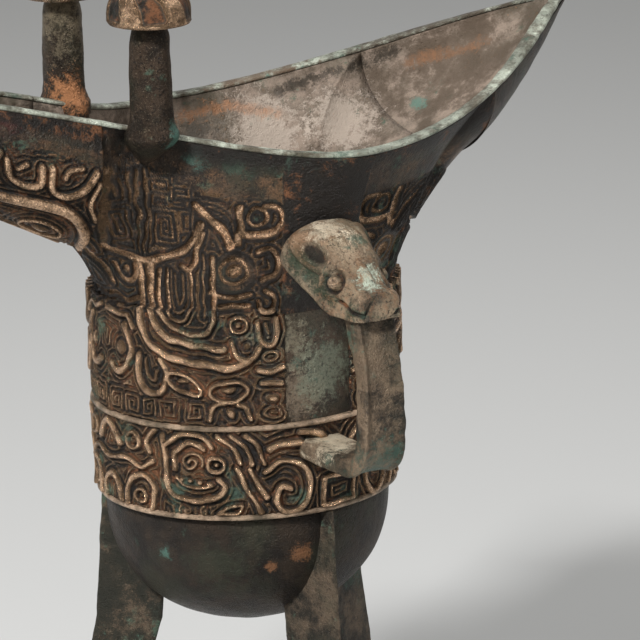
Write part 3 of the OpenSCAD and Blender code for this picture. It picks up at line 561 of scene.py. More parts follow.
def spout_chart():
    """One side of the spout: u runs from its joint to its end, z down its girth from the rim."""
    c = Chart((-2, 0), (48, 37))
    for k in (0, 22):
        c.draw([
            (2, 1.25, 11.6 + k, 11, 11.4 + k, 16, 8 + k, 16.8, 4 + k, 14.2, 1.4 + k, 10),
            (2, 1.2, 22 + k, 11.4, 21 + k, 15.6, 17.6 + k, 16.8, 14.2 + k, 15.6, 13.8 + k, 11.4),
            (THIN, 0.8, 8.6 + k, 12.8, 7.4 + k, 10.8, 4.6 + k, 9.6),
            (THIN, 0.8, 19.4 + k, 13.2, 17.2 + k, 11.6),
        ])
    c.draw([
        (3.4, 1.35, 46, 24, 34, 22, 23, 21.6, 14, 20.6, 8, 20.4, 4.4, 21.8, 1.6, 25, 0, 30),
        (THIN, 0.9, 0.6, 12, 2.2, 17, 0.4, 20.6),
        (THIN, 0.8, 46, 34, 20, 33.6, 3, 35),
    ], [(1.1, 0.9, u, 28.6, 5, 3) for u in (11, 30)], [(0.9, u, 28.6, 2.8, 1.5) for u in (11, 30)])
    return c.finish()


mask = mask_chart()
dragons = dragon_chart()
spout_sides = spout_chart()


def grid_normals(p, closed):
    """Outward unit normals of a grid of rows and columns."""
    up = np.gradient(p, axis=0)
    if closed:
        along = np.roll(p, -1, 1) - np.roll(p, 1, 1)
    else:
        along = np.gradient(p, axis=1)
    return norm(np.cross(along, up))


# The plain strip behind the handle, the plain zone, the ground between the ridges, the height of
# it all, and how far the ridges wander and how much their height varies
PLAIN_HALF = 7.5
PLAIN_LEVEL = 0.45
FLOOR_LEVEL = 0.1
RELIEF_SCALE = 1.3
WANDER, UNEVEN = 0.28, 0.16
CAST_SKIN = 0.07


def wall_relief(angle, z, near):
    """Relief above the wall at an angle in degrees from the tail and a height over the line."""
    spoutward = angle > 90
    u = GIRTH * np.radians(np.abs(angle - 90))
    place = np.stack(np.broadcast_arrays(u + 140 * near + 70 * spoutward, z), -1)
    u = u + WANDER * ripple(place, 6, 41)
    z = z + WANDER * ripple(place, 6, 42) * smooth(np.abs(z) / 2)
    top_line = np.where(spoutward, np.interp(u, *np.transpose(MASK_TOP)),
                        np.interp(u, *np.transpose(MASK_TOP_TAIL)))
    upper = FLOOR_LEVEL + mask.at(u, z)
    upper = lerp(upper, PLAIN_LEVEL, smooth((z - top_line) / 0.7 + 0.5))
    upper = lerp(upper, 0, smooth((z - top_line - 3) / 9))
    centre = np.where(near, -4.6, 4.6) * np.where(spoutward, 1, -1)
    v = np.abs(np.where(near, u - centre, u + centre))
    lower = FLOOR_LEVEL + dragons.at(v, z)
    height = np.where(z > 0, upper, lower) * (1 + UNEVEN * ripple(place, 9, 43))
    strip = smooth((PLAIN_HALF + 0.3 - u) / 0.6) * near * (z > 0)
    return RELIEF_SCALE * lerp(height, 0, strip)


def columns(half):
    """The angle of each column all round and whether it is on the near side."""
    a = np.concatenate([half, half[-2:0:-1]])
    near = np.arange(len(a)) < len(half)
    return a, near


def crested(lift, times=8):
    """The relief's level at each point, with the middle of a ridge above its flanks."""
    return (lift + 1.5 * (lift - blur(lift, times))) / DEEP


class Graph:
    """A short way to write a shader's nodes."""

    def __init__(self, name):
        self.material = bpy.data.materials.new(name)
        self.material.use_nodes = True
        self.tree = self.material.node_tree
        self.tree.nodes.clear()

    def put(self, value, socket):
        if isinstance(value, bpy.types.NodeSocket):
            self.tree.links.new(value, socket)
        elif value is not None:
            socket.default_value = value

    def node(self, kind, *values, out=0, **settings):
        node = self.tree.nodes.new(kind)
        for key, value in settings.items():
            setattr(node, key, value)
        for value, socket in zip(values, node.inputs):
            self.put(value, socket)
        return node.outputs[out]

    def named(self, kind, **values):
        """A node whose inputs are set by name, with _ for a space."""
        node = self.tree.nodes.new(kind)
        for name, value in values.items():
            self.put(value, node.inputs[name.replace("_", " ")])
        return node

    def math(self, operation, a, b=None):
        return self.node("ShaderNodeMath", a, b, operation=operation)

    def times(self, a, b):
        return self.math("MULTIPLY", a, b)

    def plus(self, a, b):
        return self.math("ADD", a, b)

    def inverse(self, a):
        return self.math("SUBTRACT", 1.0, a)

    def blend(self, a, weight_a, b, weight_b):
        return self.plus(self.times(a, weight_a), self.times(b, weight_b))

    def uneven(self, value, pattern, amount):
        """The value with a pattern of mean 0.5 laid over it."""
        return self.plus(value, self.times(self.math("SUBTRACT", pattern, 0.5), amount))

    def vector(self, operation, a, b=None, out=0):
        return self.node("ShaderNodeVectorMath", a, b, operation=operation, out=out)

    def noise(self, place, scale, detail, rough, shift=None):
        if shift:
            place = self.vector("ADD", place, shift)
        node = self.named("ShaderNodeTexNoise", Vector=place, Scale=scale, Detail=detail,
                          Roughness=rough)
        return node.outputs["Fac"]

    def ramp(self, value, low, high):
        """0 at low, 1 at high, smooth between."""
        node = self.named("ShaderNodeMapRange", Value=value, From_Min=low, From_Max=high)
        node.interpolation_type = "SMOOTHSTEP"
        node.clamp = True
        return node.outputs["Result"]

    def mix(self, share, a, b):
        node = self.tree.nodes.new("ShaderNodeMix")
        node.data_type = "RGBA"
        self.put(share, node.inputs[0])
        for value, socket in ((a, node.inputs[6]), (b, node.inputs[7])):
            self.put((*value, 1) if isinstance(value, tuple) else value, socket)
        return node.outputs[2]

    def lay(self, colour, share, strength, tint):
        """The colour with a tint over it."""
        return self.mix(self.times(share, strength), colour, tint)

    def close(self, colour, roughness, **values):
        """The finished material with this colour and roughness."""
        shader = self.named("ShaderNodeBsdfPrincipled", Base_Color=colour, Roughness=roughness,
                            **values)
        self.named("ShaderNodeOutputMaterial", Surface=shader.outputs[0])
        return self.material


BLACK_BRONZE = (0.012, 0.009, 0.007)
BROWN = (0.062, 0.041, 0.027)
OLIVE = (0.042, 0.046, 0.028)
GREEN = (0.055, 0.105, 0.072)
TURQUOISE = (0.13, 0.29, 0.235)
DARK_GREEN = (0.032, 0.048, 0.026)
EARTH = (0.44, 0.20, 0.09)
DEEP_EARTH = (0.24, 0.10, 0.042)
BARE = (0.15, 0.092, 0.05)
# Pale colour of the crests: partly wear, partly a painted highlight
PALE_WEAR_AND_HIGHLIGHT = (0.73, 0.485, 0.31)
FLECK = (0.26, 0.21, 0.145)
GLINT = (0.90, 0.68, 0.50)
LILAC = (0.36, 0.28, 0.22)
PALE_INSIDE = (0.56, 0.465, 0.385)
SAND = (0.66, 0.56, 0.41)


def patina(name, dark=BLACK_BRONZE, brown=BROWN, green=0.5, turquoise=0.5, earth=0.5, worn=0.0,
           recess_earth=0.0, rough=0.5, metal=0.3, gloss=0.25, specks=1.0, spots=()):
    """Old cast bronze: dark and brown metal with green and turquoise patches, and spots of one colour
    at places in millimetres. Where worn is above 0, the surface's relief has earth and painted shade in
    its recesses, and rubbed ridges whose crests are pale, partly from wear and partly as a painted
    highlight with painted glints."""
    g = Graph(name)
    coordinate = g.node("ShaderNodeTexCoord", out=3)
    place = g.vector("SCALE", coordinate)
    place.node.inputs["Scale"].default_value = 1 / MM
    broad = g.noise(place, 0.055, 6, 0.62)
    middle = g.noise(place, 0.17, 7, 0.68, (31.0, 7.0, 13.0))
    patches = g.noise(place, 0.11, 8, 0.7, (5.0, 57.0, 29.0))
    small = g.noise(place, 0.6, 6, 0.72, (11.0, 3.0, 71.0))
    fine = g.noise(place, 2.6, 4, 0.7)
    grain = g.blend(small, 0.6, fine, 0.4)

    # The metal, its patches, its crumbs of earth, its pale flecks and its dark pores
    colour = g.mix(g.ramp(middle, 0.38, 0.64), dark, brown)
    colour = g.lay(colour, g.ramp(broad, 0.46, 0.64), 0.5, OLIVE)
    spread = g.blend(patches, 0.75, grain, 0.25)
    green_share = g.ramp(spread, 0.64 - 0.18 * green, 0.72 - 0.18 * green)
    colour = g.lay(colour, green_share, 0.8, GREEN)
    speckle = g.blend(patches, 0.4, grain, 0.6)
    turquoise_share = g.ramp(speckle, 0.66 - 0.14 * turquoise, 0.72 - 0.14 * turquoise)
    colour = g.lay(colour, turquoise_share, 0.7, TURQUOISE)
    soil = g.blend(broad, 0.4, grain, 0.6)
    earth_share = g.ramp(soil, 0.66 - 0.14 * earth, 0.74 - 0.14 * earth)
    colour = g.lay(colour, earth_share, 0.7, EARTH)
    flecks = g.ramp(fine, 0.56, 0.70)
    colour = g.lay(colour, flecks, 0.34 * specks, FLECK)
    holes = g.inverse(g.ramp(g.noise(place, 1.5, 5, 0.7, (17.0, 23.0, 5.0)), 0.36, 0.46))
    colour = g.lay(colour, holes, 0.6 * specks, BLACK_BRONZE)
    for (x, y, z), radius, tint, strength in spots:
        far = g.vector("DISTANCE", place, (x + AXIS[0], y + AXIS[1], z), out=1)
        far = g.uneven(g.uneven(far, grain, radius * 4.5), middle, radius * 3)
        share = g.inverse(g.ramp(far, radius * 0.35, radius * 1.15))
        colour = g.lay(colour, share, strength, tint)
    dull = g.math("MAXIMUM", green_share, turquoise_share)
    if worn:
        height = g.node("ShaderNodeAttribute", attribute_name="relief", out=2)
        # The lowest relief is laid over with near-black: painted shade in the grooves. The same mask
        # also places the earth below.
        low = g.inverse(g.ramp(height, 0.12, 0.55))
        colour = g.lay(colour, low, 0.92, BLACK_BRONZE)
        crust = g.blend(middle, 0.55, grain, 0.45)
        filled = g.ramp(crust, 0.62 - 0.22 * recess_earth, 0.72 - 0.22 * recess_earth)
        colour = g.lay(colour, g.times(low, filled), 0.8, DEEP_EARTH)
        rubbed = g.ramp(g.uneven(height, grain, 1.6), 1.0 - 0.45 * worn, 1.42 - 0.45 * worn)
        rubbed = g.times(rubbed, worn)
        side = g.times(g.ramp(height, 0.54, 0.78), g.ramp(soil, 0.46, 0.58))
        colour = g.lay(colour, side, 0.75 * recess_earth, EARTH)
        colour = g.mix(rubbed, colour, BARE)
        # The crests of the highest relief turn pale in patches: partly rubbed wear, partly a painted
        # highlight.
        crest_wear_and_highlight = g.ramp(g.uneven(height, grain, 1.4), 1.1, 1.75)
        crest_wear_and_highlight = g.times(crest_wear_and_highlight, g.ramp(crust, 0.40, 0.58))
        colour = g.lay(colour, crest_wear_and_highlight, worn, PALE_WEAR_AND_HIGHLIGHT)
        # Painted glints on the crests, where the pale flecks fall.
        colour = g.lay(colour, g.times(flecks, crest_wear_and_highlight), 0.75, GLINT)
        colour = g.lay(colour, holes, 0.7, BLACK_BRONZE)
        colour = g.lay(colour, green_share, 0.55, GREEN)
        colour = g.lay(colour, turquoise_share, 0.6, TURQUOISE)

    roughness = g.plus(rough - 0.2, g.times(grain, 0.36))
    roughness = g.plus(roughness, g.times(dull, 0.15))
    shine = g.times(g.inverse(dull), metal)
    if worn:
        shine = g.math("MAXIMUM", shine, g.times(rubbed, 0.9))
        roughness = g.math("SUBTRACT", roughness, g.times(rubbed, 0.16))
    pits = g.named("ShaderNodeTexVoronoi", Vector=place, Scale=0.9)
    pitted = g.times(g.ramp(pits.outputs["Distance"], 0.0, 0.32), 0.35)
    surface = g.plus(g.plus(small, g.times(fine, 0.6)), pitted)
    bump = g.named("ShaderNodeBump", Strength=0.75, Distance=0.95 * MM, Height=surface)
    return g.close(colour, roughness, Specular_IOR_Level=gloss, Metallic=shine,
                   Normal=bump.outputs[0])


def volume_sign(points, quads):
    """Positive where the quads of a closed mesh face outward."""
    a, b, c, d = [points[quads[:, i]] for i in range(4)]
    return np.sum(a * np.cross(b, c)) + np.sum(a * np.cross(c, d))


def make_piece(name, points, quads, materials, replaced, relief=0.5, inner=None, caps=(),
               flat=0):
    """A mesh in metres from points in millimetres about the cup's axis. The quads of the range
    inner take the second material, caps are polygons that close it, and the caps and the last
    quads, as many as flat says, are shaded flat."""
    points = np.asarray(points, float)
    quads = np.asarray(quads, int)
    if volume_sign(points, quads) < 0:
        quads = quads[:, ::-1]
        caps = [cap[::-1] for cap in caps]
    faces = quads.tolist() + [list(map(int, cap)) for cap in caps]
    mesh = bpy.data.meshes.new(name)
    mesh.from_pydata(((points + AXIS) * MM).tolist(), [], faces)
    for material in materials:
        mesh.materials.append(material)
    if inner is not None:
        marks = np.zeros(len(faces), np.int32)
        marks[inner[0]:inner[1]] = 1
        mesh.polygons.foreach_set("material_index", marks)
    height = mesh.attributes.new("relief", "FLOAT", "POINT")
    level = np.broadcast_to(relief, len(points)).astype(np.float32)
    height.data.foreach_set("value", level)
    smooth_faces = np.arange(len(faces)) < len(quads) - flat
    mesh.polygons.foreach_set("use_smooth", smooth_faces)
    mesh.update()
    piece = bpy.data.objects.new(name, mesh)
    bpy.context.scene.collection.objects.link(piece)
    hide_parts(*replaced)
    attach(piece, "root")
    return piece


def grid_quads(rows, cols, first, closed):
    """Quads over a grid of points that starts at index first."""
    last = cols if closed else cols - 1
    j, i = np.meshgrid(np.arange(rows - 1), np.arange(last), indexing="ij")
    k = (i + 1) % cols
    a, b = first + j * cols + i, first + j * cols + k
    return np.stack([a, b, b + cols, a + cols], -1).reshape(-1, 4)


def shell_piece(name, outer, inner, closed, materials, replaced, relief=0.5):
    """A closed shell between an outer grid and an inner grid with the same columns."""
    (rows, cols), rows_in = outer.shape[:2], inner.shape[0]
    n = rows * cols
    points = np.concatenate([outer.reshape(-1, 3), inner.reshape(-1, 3)])
    i = np.arange(cols if closed else cols - 1)
    k = (i + 1) % cols
    top, top_in = (rows - 1) * cols, n + (rows_in - 1) * cols
    groups = [
        grid_quads(rows, cols, 0, closed),
        grid_quads(rows_in, cols, n, closed)[:, ::-1],
        np.stack([k, i, n + i, n + k], -1),
        np.stack([top + i, top + k, top_in + k, top_in + i], -1),
    ]
    caps = []
    if not closed:
        first, first_in = np.arange(rows) * cols, n + np.arange(rows_in) * cols
        caps.append(np.concatenate([first, first_in[::-1]]))
        caps.append(np.concatenate([first[::-1], first_in]) + cols - 1)
    levels = np.full(len(points), 0.5)
    levels[:n] = np.broadcast_to(relief, (rows, cols)).reshape(-1)
    start = len(groups[0])
    inner_faces = (start, start + len(groups[1])) if len(materials) > 1 else None
    return make_piece(name, points, np.concatenate(groups), materials, replaced, levels,
                      inner_faces, caps, len(groups[2]) + len(groups[3]))


def tube_piece(name, tubes, material, replaced, relief=0.5):
    """Solids from rings of points, all of one size, each closed by a flat cap at both ends."""
    rows, cols = tubes[0].shape[:2]
    points, quads, caps = [], [], []
    for k, rings in enumerate(tubes):
        first, end = k * rows * cols, (k + 1) * rows * cols
        part = grid_quads(rows, cols, first, True)
        ends = [range(first + cols - 1, first - 1, -1), range(end - cols, end)]
        points.append(rings.reshape(-1, 3))
        if volume_sign(np.concatenate([np.zeros((first, 3)), points[-1]]), part) < 0:
            part = part[:, ::-1]
            ends = [cap[::-1] for cap in ends]
        quads.append(part)
        caps += ends
    levels = np.broadcast_to(relief, (len(tubes) * rows, cols)).reshape(-1)
    return make_piece(name, np.concatenate(points), np.concatenate(quads), [material],
                      replaced, levels, None, caps)


def streak(start, end, count, radius, tint, strength):
    """A row of spots between two places."""
    shares = np.linspace(0, 1, count)[:, None]
    places = lerp(np.array([start], float), np.array([end], float), shares)
    return [(tuple(map(float, place)), radius, tint, strength) for place in places]


dark_bronze = patina(
    "dark bronze", brown=(0.034, 0.023, 0.015), green=0.25, turquoise=0.2, earth=0.3, rough=0.42,
    specks=0.45, spots=[
        ((-27.5, -12.1, 89), 1.6, TURQUOISE, 0.5), ((-20.5, -19.7, 87), 6, OLIVE, 0.6),
        ((-3.9, -27.8, 89), 2.4, EARTH, 0.4), ((-9.7, -25.9, 86.6), 1.2, EARTH, 0.4),
    ])
relief_bronze = patina(
    "relief bronze", green=0.55, turquoise=0.4, earth=0.25, worn=0.95, recess_earth=0.6,
    rough=0.36, metal=0.5, gloss=0.5, spots=[
        ((-8.5, -31, 136), 8, (0.25, 0.22, 0.15), 0.7), ((-6, -31.5, 125), 7, (0.25, 0.19, 0.13), 0.7),
        ((2, -32, 130), 8, (0.21, 0.23, 0.165), 0.7),
    ])
mouth_bronze = patina(
    "mouth bronze", green=0.45, turquoise=0.25, earth=0.15, worn=0.85, recess_earth=0.4,
    rough=0.42, metal=0.35, gloss=0.4, spots=[
        ((-23.5, -21.3, 175.5), 2.4, TURQUOISE, 0.4), ((-16.6, -25.8, 173.6), 3, GREEN, 0.6),
    ])
spout_bronze = patina(
    "spout bronze", green=0.4, turquoise=0.25, earth=0.25, worn=0.8, recess_earth=0.6, rough=0.42,
    metal=0.4, gloss=0.4, spots=[((-62.5, -15, 188), 3, (0.10, 0.02, 0.018), 0.6)])
# The dark spot at (-34, 20, 177), on the inner wall under the far post's foot, is painted shade.
inside_bronze = patina(
    "inside bronze", dark=(0.12, 0.09, 0.065), brown=LILAC, green=0.35, turquoise=0.4, earth=0.65,
    rough=0.55, metal=0.1, specks=0.5, spots=[
        ((62, 9, 180), 20, (0.13, 0.095, 0.068), 0.75), ((24, 29, 166), 10, PALE_INSIDE, 0.8),
        ((38, 21, 168), 8, PALE_INSIDE, 0.7), ((51.4, 10.4, 172.3), 2.2, TURQUOISE, 0.6),
        ((9, 33, 166), 6, (0.10, 0.085, 0.07), 0.7), ((-34, 20, 177), 11, (0.07, 0.055, 0.042), 0.9),
        *streak((0, 33.5, 171), (15.7, 33.6, 172), 8, 1.7, EARTH, 0.5),
        *streak((17, 33.4, 172), (27, 29.6, 169.5), 6, 1.6, EARTH, 0.4),
        *streak((54, 18, 180), (68, 6.6, 184.6), 9, 1.6, EARTH, 0.26),
        *streak((28, 31, 174.5), (52.3, 21, 182), 14, 1.8, (0.05, 0.04, 0.03), 0.75),
    ])
lip_bronze = patina(
    "pale lip", dark=(0.14, 0.12, 0.085), brown=(0.70, 0.75, 0.62), green=0.6, turquoise=0.6,
    earth=0.4, rough=0.4, gloss=0.5, spots=[
        ((62, 18, 190), 22, (0.09, 0.07, 0.05), 0.85), ((24, 32, 176), 12, (0.17, 0.11, 0.07), 0.8),
    ])
ring_bronze = patina(
    "worn ring", dark=(0.16, 0.11, 0.07), brown=(0.62, 0.44, 0.30), green=0.3, turquoise=0.2,
    rough=0.36, gloss=0.5)
post_bronze = patina(
    "post bronze", dark=(0.014, 0.010, 0.007), brown=(0.052, 0.034, 0.022), green=0.3,
    turquoise=0.25, earth=0.35, rough=0.42, metal=0.4, specks=1.7, spots=[
        ((-31.9, 24, 203), 13, (0.20, 0.16, 0.105), 0.75), ((-31.9, 15.5, 183.5), 5, EARTH, 0.95),
        ((-29, -22.5, 181), 2.4, TURQUOISE, 0.5),
    ])
cap_bronze = patina(
    "cap bronze", dark=(0.03, 0.025, 0.02), brown=(0.10, 0.07, 0.05), turquoise=0.45, worn=0.9,
    recess_earth=0.7, rough=0.4, metal=0.5, gloss=0.5)
head_bronze = patina(
    "head bronze", dark=(0.06, 0.05, 0.035), brown=(0.32, 0.245, 0.16), green=0.65, earth=0.45,
    worn=0.3, recess_earth=0.5, rough=0.42, metal=0.25, gloss=0.4, spots=[
        ((-9.2, -37, 155), 3.6, DARK_GREEN, 0.9), ((-8.6, -42, 151), 3.6, DARK_GREEN, 0.9),
        ((-7.6, -47.5, 148.4), 3, DARK_GREEN, 0.9), ((-6.4, -52, 147), 2.6, DARK_GREEN, 0.8),
        ((-8.4, -37.5, 160), 3.2, (0.36, 0.19, 0.10), 0.6),
        ((-6.6, -46.4, 152.2), 2.4, BLACK_BRONZE, 0.75),
        ((-1.5, -39, 163), 6.5, (0.72, 0.61, 0.45), 0.9),
        ((-2, -46, 158.5), 4.5, (0.45, 0.33, 0.22), 0.6),
        ((0, -50.5, 153.5), 3.2, (0.58, 0.66, 0.53), 0.85),
    ])
strap_bronze = patina(
    "strap bronze", dark=(0.018, 0.014, 0.010), brown=(0.24, 0.17, 0.11), turquoise=0.45,
    earth=0.3, rough=0.42, metal=0.35, gloss=0.4, spots=[
        ((0.2, -35, 115.5), 7.5, SAND, 0.95), ((-1, -55, 113), 7, (0.06, 0.12, 0.09), 0.7),
        ((-3, -54, 136), 6, (0.20, 0.14, 0.09), 0.6),
    ])
# The large dark patch on the spout-side leg, round (-31, 16, 76), is painted shade.
leg_bronze = patina(
    "leg bronze", dark=(0.016, 0.013, 0.009), brown=(0.12, 0.085, 0.056), earth=0.35, rough=0.48,
    gloss=0.3, spots=[
        ((-31, 16, 76), 24, (0.024, 0.024, 0.017), 0.85), ((34, 7, 76), 9, (0.05, 0.10, 0.08), 0.5),
    ])

# The wall between the seam and the foot of the bands
wall_angles = all_angles(360)
wall_zs = np.linspace(BAND_FOOT_Z, SEAM_Z, 40)
wall = wall_grid(wall_angles, wall_zs)
wall_in = wall_grid(wall_angles, np.linspace(BAND_FOOT_Z, SEAM_Z, 10), -METAL_T)
shell_piece("cup_wall_cast", wall, wall_in, True, [relief_bronze, inside_bronze],
            ["cup_wall"], 0.5)

# The mouth, with the upper part of the masks on its outside
angles, on_near = columns(LEAVE)
MOUTH_ROWS, MOUTH_ROWS_IN = 94, 16
mouth_shares = np.linspace(0, 1, MOUTH_ROWS)
mouth_shares = lerp(mouth_shares, mouth_shares**2, 0.3)
mouth = all_round(mouth_grid(0, mouth_shares))
edge_z = mouth[-1:, :, 2]
mouth_in = all_round(mouth_grid(METAL_T, np.linspace(0, 1, MOUTH_ROWS_IN)))
mouth_normals = grid_normals(mouth, True)
seam_normals = norm(mouth[0] / [HALF_L**2, HALF_W**2, 1] * [1, 1, 0])
from_seam = smooth(np.linspace(0, 1, MOUTH_ROWS) / 0.12)[:, None, None]
mouth_normals = norm(lerp(seam_normals[None], mouth_normals, from_seam))
lift = wall_relief(angles[None], mouth[..., 2] - LINE_Z, on_near[None])
# The wall swells out to each post's foot
POST_SWELL, SWELL_HALF, SWELL_DROP, SWELL_FADE = 2.6, 9, 15, 3
beside = np.hypot(mouth[..., 0] - POST_X, np.abs(mouth[..., 1]) - POST_Y + 1.5)
below = edge_z - mouth[..., 2]
swell = POST_SWELL * smooth(1 - beside / SWELL_HALF) * smooth(1 - below / SWELL_DROP)
swell *= smooth(below / SWELL_FADE)
mouth_out = mouth + mouth_normals * (lift + swell)[..., None]
shell_piece("flared_mouth_cast", mouth_out, mouth_in, True, [mouth_bronze, inside_bronze],
            ["flared_mouth"], crested(lift))

# The upper band, open behind the handle. The bands' backs lie a little in the wall.
BAND_BACK = 0.1
near_signed = np.where(on_near, -angles, angles)
around = (-90 - near_signed) % 360
strip_half = math.degrees(PLAIN_HALF / GIRTH)
kept = np.nonzero((around > strip_half) & (around < 360 - strip_half))[0]
kept = kept[np.argsort(around[kept])]
band_zs = np.linspace(LINE_Z + RING_H / 2, SEAM_Z, 80)
band = wall_grid(near_signed[kept], band_zs)
band_lift = wall_relief(angles[kept][None], band[..., 2] - LINE_Z, on_near[kept][None])
band_out = band + grid_normals(band, False) * -band_lift[..., None]
band_in = wall_grid(near_signed[kept], band_zs[[0, 26, 53, 79]], -BAND_BACK)
shell_piece("upper_mask_relief", band_out, band_in, False, [relief_bronze],
            ["upper_mask_band"], crested(band_lift))

# The lower band with the coiled dragons
lower_angles = all_angles(760)
lower_zs = np.linspace(BAND_FOOT_Z + RING_H, LINE_Z - RING_H / 2, 64)
lower = wall_grid(lower_angles, lower_zs)
folded = np.where(lower_angles > 180, 360 - lower_angles, lower_angles)
lower_lift = wall_relief(folded[None], lower[..., 2] - LINE_Z, (lower_angles > 180)[None])
lower_out = lower + grid_normals(lower, True) * lower_lift[..., None]
lower_in = wall_grid(lower_angles, lower_zs[::3], -BAND_BACK)
shell_piece("lower_dragon_relief", lower_out, lower_in, True, [relief_bronze],
            ["lower_dragon_band"], crested(lower_lift))


def bead_ring(name, low_z, high_z, replaced):
    """A worn bead round the wall."""
    across = np.radians(np.linspace(-84, 84, 9))
    zs = (low_z + high_z) / 2 + (high_z - low_z) / 2 * np.sin(across)
    flat = wall_grid(all_angles(600), zs)
    wear = 0.12 * ripple(flat * [1, 1, 0.2], 5, 3)
    out = (RING_OUT - 0.15) * np.cos(across)[:, None] ** 0.6 + wear * np.cos(across)[:, None]
    outward = norm(flat * [1, 1, 0])
    shell_piece(name, flat + outward * out[..., None], flat[::4] - outward[::4] * BAND_BACK, True,
                [ring_bronze], replaced)


bead_ring("middle_ring_bead", LINE_Z - RING_H / 2, LINE_Z + RING_H / 2, ["middle_ring"])
bead_ring("lower_ring_bead", BAND_FOOT_Z, BAND_FOOT_Z + RING_H, ["lower_ring"])

# The bowl
egg_share = 1 - CUP_DRAW / CUP_L - BOWL_STEP / HALF_L


def egg_grid(t, rows, cols):
    turn = np.radians(np.linspace(90, 0, rows))[:, None]
    a = np.radians(all_angles(cols))
    z = BAND_FOOT_Z - (BAND_FOOT_Z - BOWL_Z - t) * np.sin(turn) ** 0.8
    x = (HALF_L * egg_share - t) * np.cos(a) * np.cos(turn)
    y = (HALF_W * egg_share - t) * np.sin(a) * np.cos(turn)
    return np.stack(np.broadcast_arrays(x, y, z), -1)


egg_out = egg_grid(0, 52, 300)
bowl_wear = (CAST_SKIN * ripple(egg_out, 9))[..., None]
egg_out[1:-1] += (norm(egg_out - [0, 0, BAND_FOOT_Z]) * bowl_wear)[1:-1]
egg_in = egg_grid(METAL_T, 18, 300)
shell_piece("bowl_cast", egg_out, egg_in, True, [dark_bronze, inside_bronze],
            ["cup_bowl"])

def trough(points):
    """A row across a trough from the near rim under the middle to the far rim."""
    near = points * [1, -1, 1]
    return np.concatenate([near, points[:, -2::-1]], axis=1)


# The tail stops a little short of its point, where its two sides would meet
TIP_SHARE = 0.985
tail_s = np.linspace(0, TIP_SHARE, 70)[:, None]
tail_k = np.linspace(0, 1, 50)[None]
tail_out = trough(tail_points(tail_s, tail_k, 0))
tail_in = trough(tail_points(tail_s[::3], tail_k, METAL_T))
tail_out[1:-1] += 0.06 * ripple(tail_out, 8, 5)[1:-1, :, None] * grid_normals(tail_out, False)[1:-1]
shell_piece("tail_cast", tail_out, tail_in, False, [mouth_bronze, inside_bronze],
            ["tail"])

# The spout, with scrolls below the plain zone under its rim
SPOUT_GIRTH, SPOUT_PLAIN_FROM, SPOUT_END = 36, 8.4, 46
spout_s = np.linspace(0, 1, 130)[:, None]
spout_k = np.linspace(0, 1, 84)[None]
spout_half = spout_points(spout_s, spout_k, 0)
steps = np.linalg.norm(np.diff(spout_half, axis=1), axis=2)
girth = np.concatenate([np.zeros((len(steps), 1)), np.cumsum(steps, 1)], 1)
girth = girth / girth[:, -1:] * SPOUT_GIRTH
reach = np.broadcast_to(spout_s * (SPOUT_REACH - SPOUT_JOINT_X), girth.shape)
spout_lift = FLOOR_LEVEL + spout_sides.at(reach, girth)
plain_edge = lerp(SPOUT_PLAIN_FROM, 6, reach / SPOUT_END)
spout_lift = lerp(spout_lift, PLAIN_LEVEL, smooth((plain_edge - girth) / 0.7 + 0.5))
spout_lift = lerp(spout_lift, 0, smooth((plain_edge - 2 - girth) / 5))
spout_lift = 1.2 * spout_lift * smooth((SPOUT_END - reach) / 1.2)
spout_lift = np.concatenate([spout_lift, spout_lift[:, -2::-1]], axis=1)
spout_out = trough(spout_half)
spout_normals = grid_normals(spout_out, False)
if np.sum(spout_normals[:, 0, 1]) > 0:
    spout_normals = -spout_normals
spout_out = spout_out + spout_normals * spout_lift[..., None]
spout_in = trough(spout_points(spout_s[::3], spout_k, METAL_T))
shell_piece("spout_cast", spout_out, spout_in, False, [spout_bronze, inside_bronze],
            ["spout"], crested(spout_lift))


def lip_rings(outer, inner, seed):
    """A worn bead along a rim: rings of points round the middle of the metal."""
    across = norm((outer - inner) * [1, 1, 0])
    middle = (outer + inner) / 2
    a = np.radians(np.arange(0, 360, 24))
    half = METAL_T / 2 + LIP_OUT
    x = half * squared(np.cos(a), 0.7)
    z = LIP_H * (0.5 + 0.5 * squared(np.sin(a), 0.7))
    wear = 1 - 0.05 * (1 + ripple(middle, 6, seed))[:, None]
    rings = middle[:, None] + across[:, None] * (x[None] * wear)[..., None]
    rings[..., 2] += z[None] * wear - 0.05
    return rings


tip_s = np.linspace(0, 1, 60)[1:]


def rim_path(t):
    side = rim(rim_xs, t)
    tip = tail_points(tip_s, 0, t)
    half = np.concatenate([side[::-1], tip])
    return np.concatenate([half, half[-2::-1] * [1, -1, 1]])


tube_piece("mouth_lip_bead", [lip_rings(rim_path(0), rim_path(METAL_T), 6)], lip_bronze,
           ["mouth_lip"])
lips = []
for side in (-1, 1):
    along = np.linspace(0, 1, 80)
    outer, inner = [spout_points(along, 0, t) * [1, side, 1] for t in (0, METAL_T)]
    lips.append(lip_rings(outer, inner, 7))
tube_piece("spout_lip_beads", lips, lip_bronze, ["spout_lip"])

# The handle: a strap swept along its path, given as reach, height over the line, thickness
# and half width
STRAP_PATH = [
    (49.9, 27.6, 6.8, 4.9), (51.3, 22.6, 6, 4.7), (53.2, 17, 5, 4.6), (54.1, 10, 4.7, 4.8),
    (54.2, 4, 4.7, 5.1), (53.9, 0, 4.8, 5.2), (52.2, -3.2, 4.8, 5.2), (48.4, -5.2, 4.5, 5.2),
    (42, -5.5, 4.4, 5.2), (36, -5.5, 4.4, 5.2), (29, -5.5, 4.4, 5.3),
]
path = spline(STRAP_PATH, steps=14)
line = path[:, :2] + [0, LINE_Z]
forward = norm(np.gradient(line, axis=0))
outward = np.stack([-forward[:, 1], forward[:, 0]], -1)
a = np.radians(all_angles(96))
cos_a, sin_a = squared(np.cos(a), 0.22), squared(np.sin(a), 0.34)
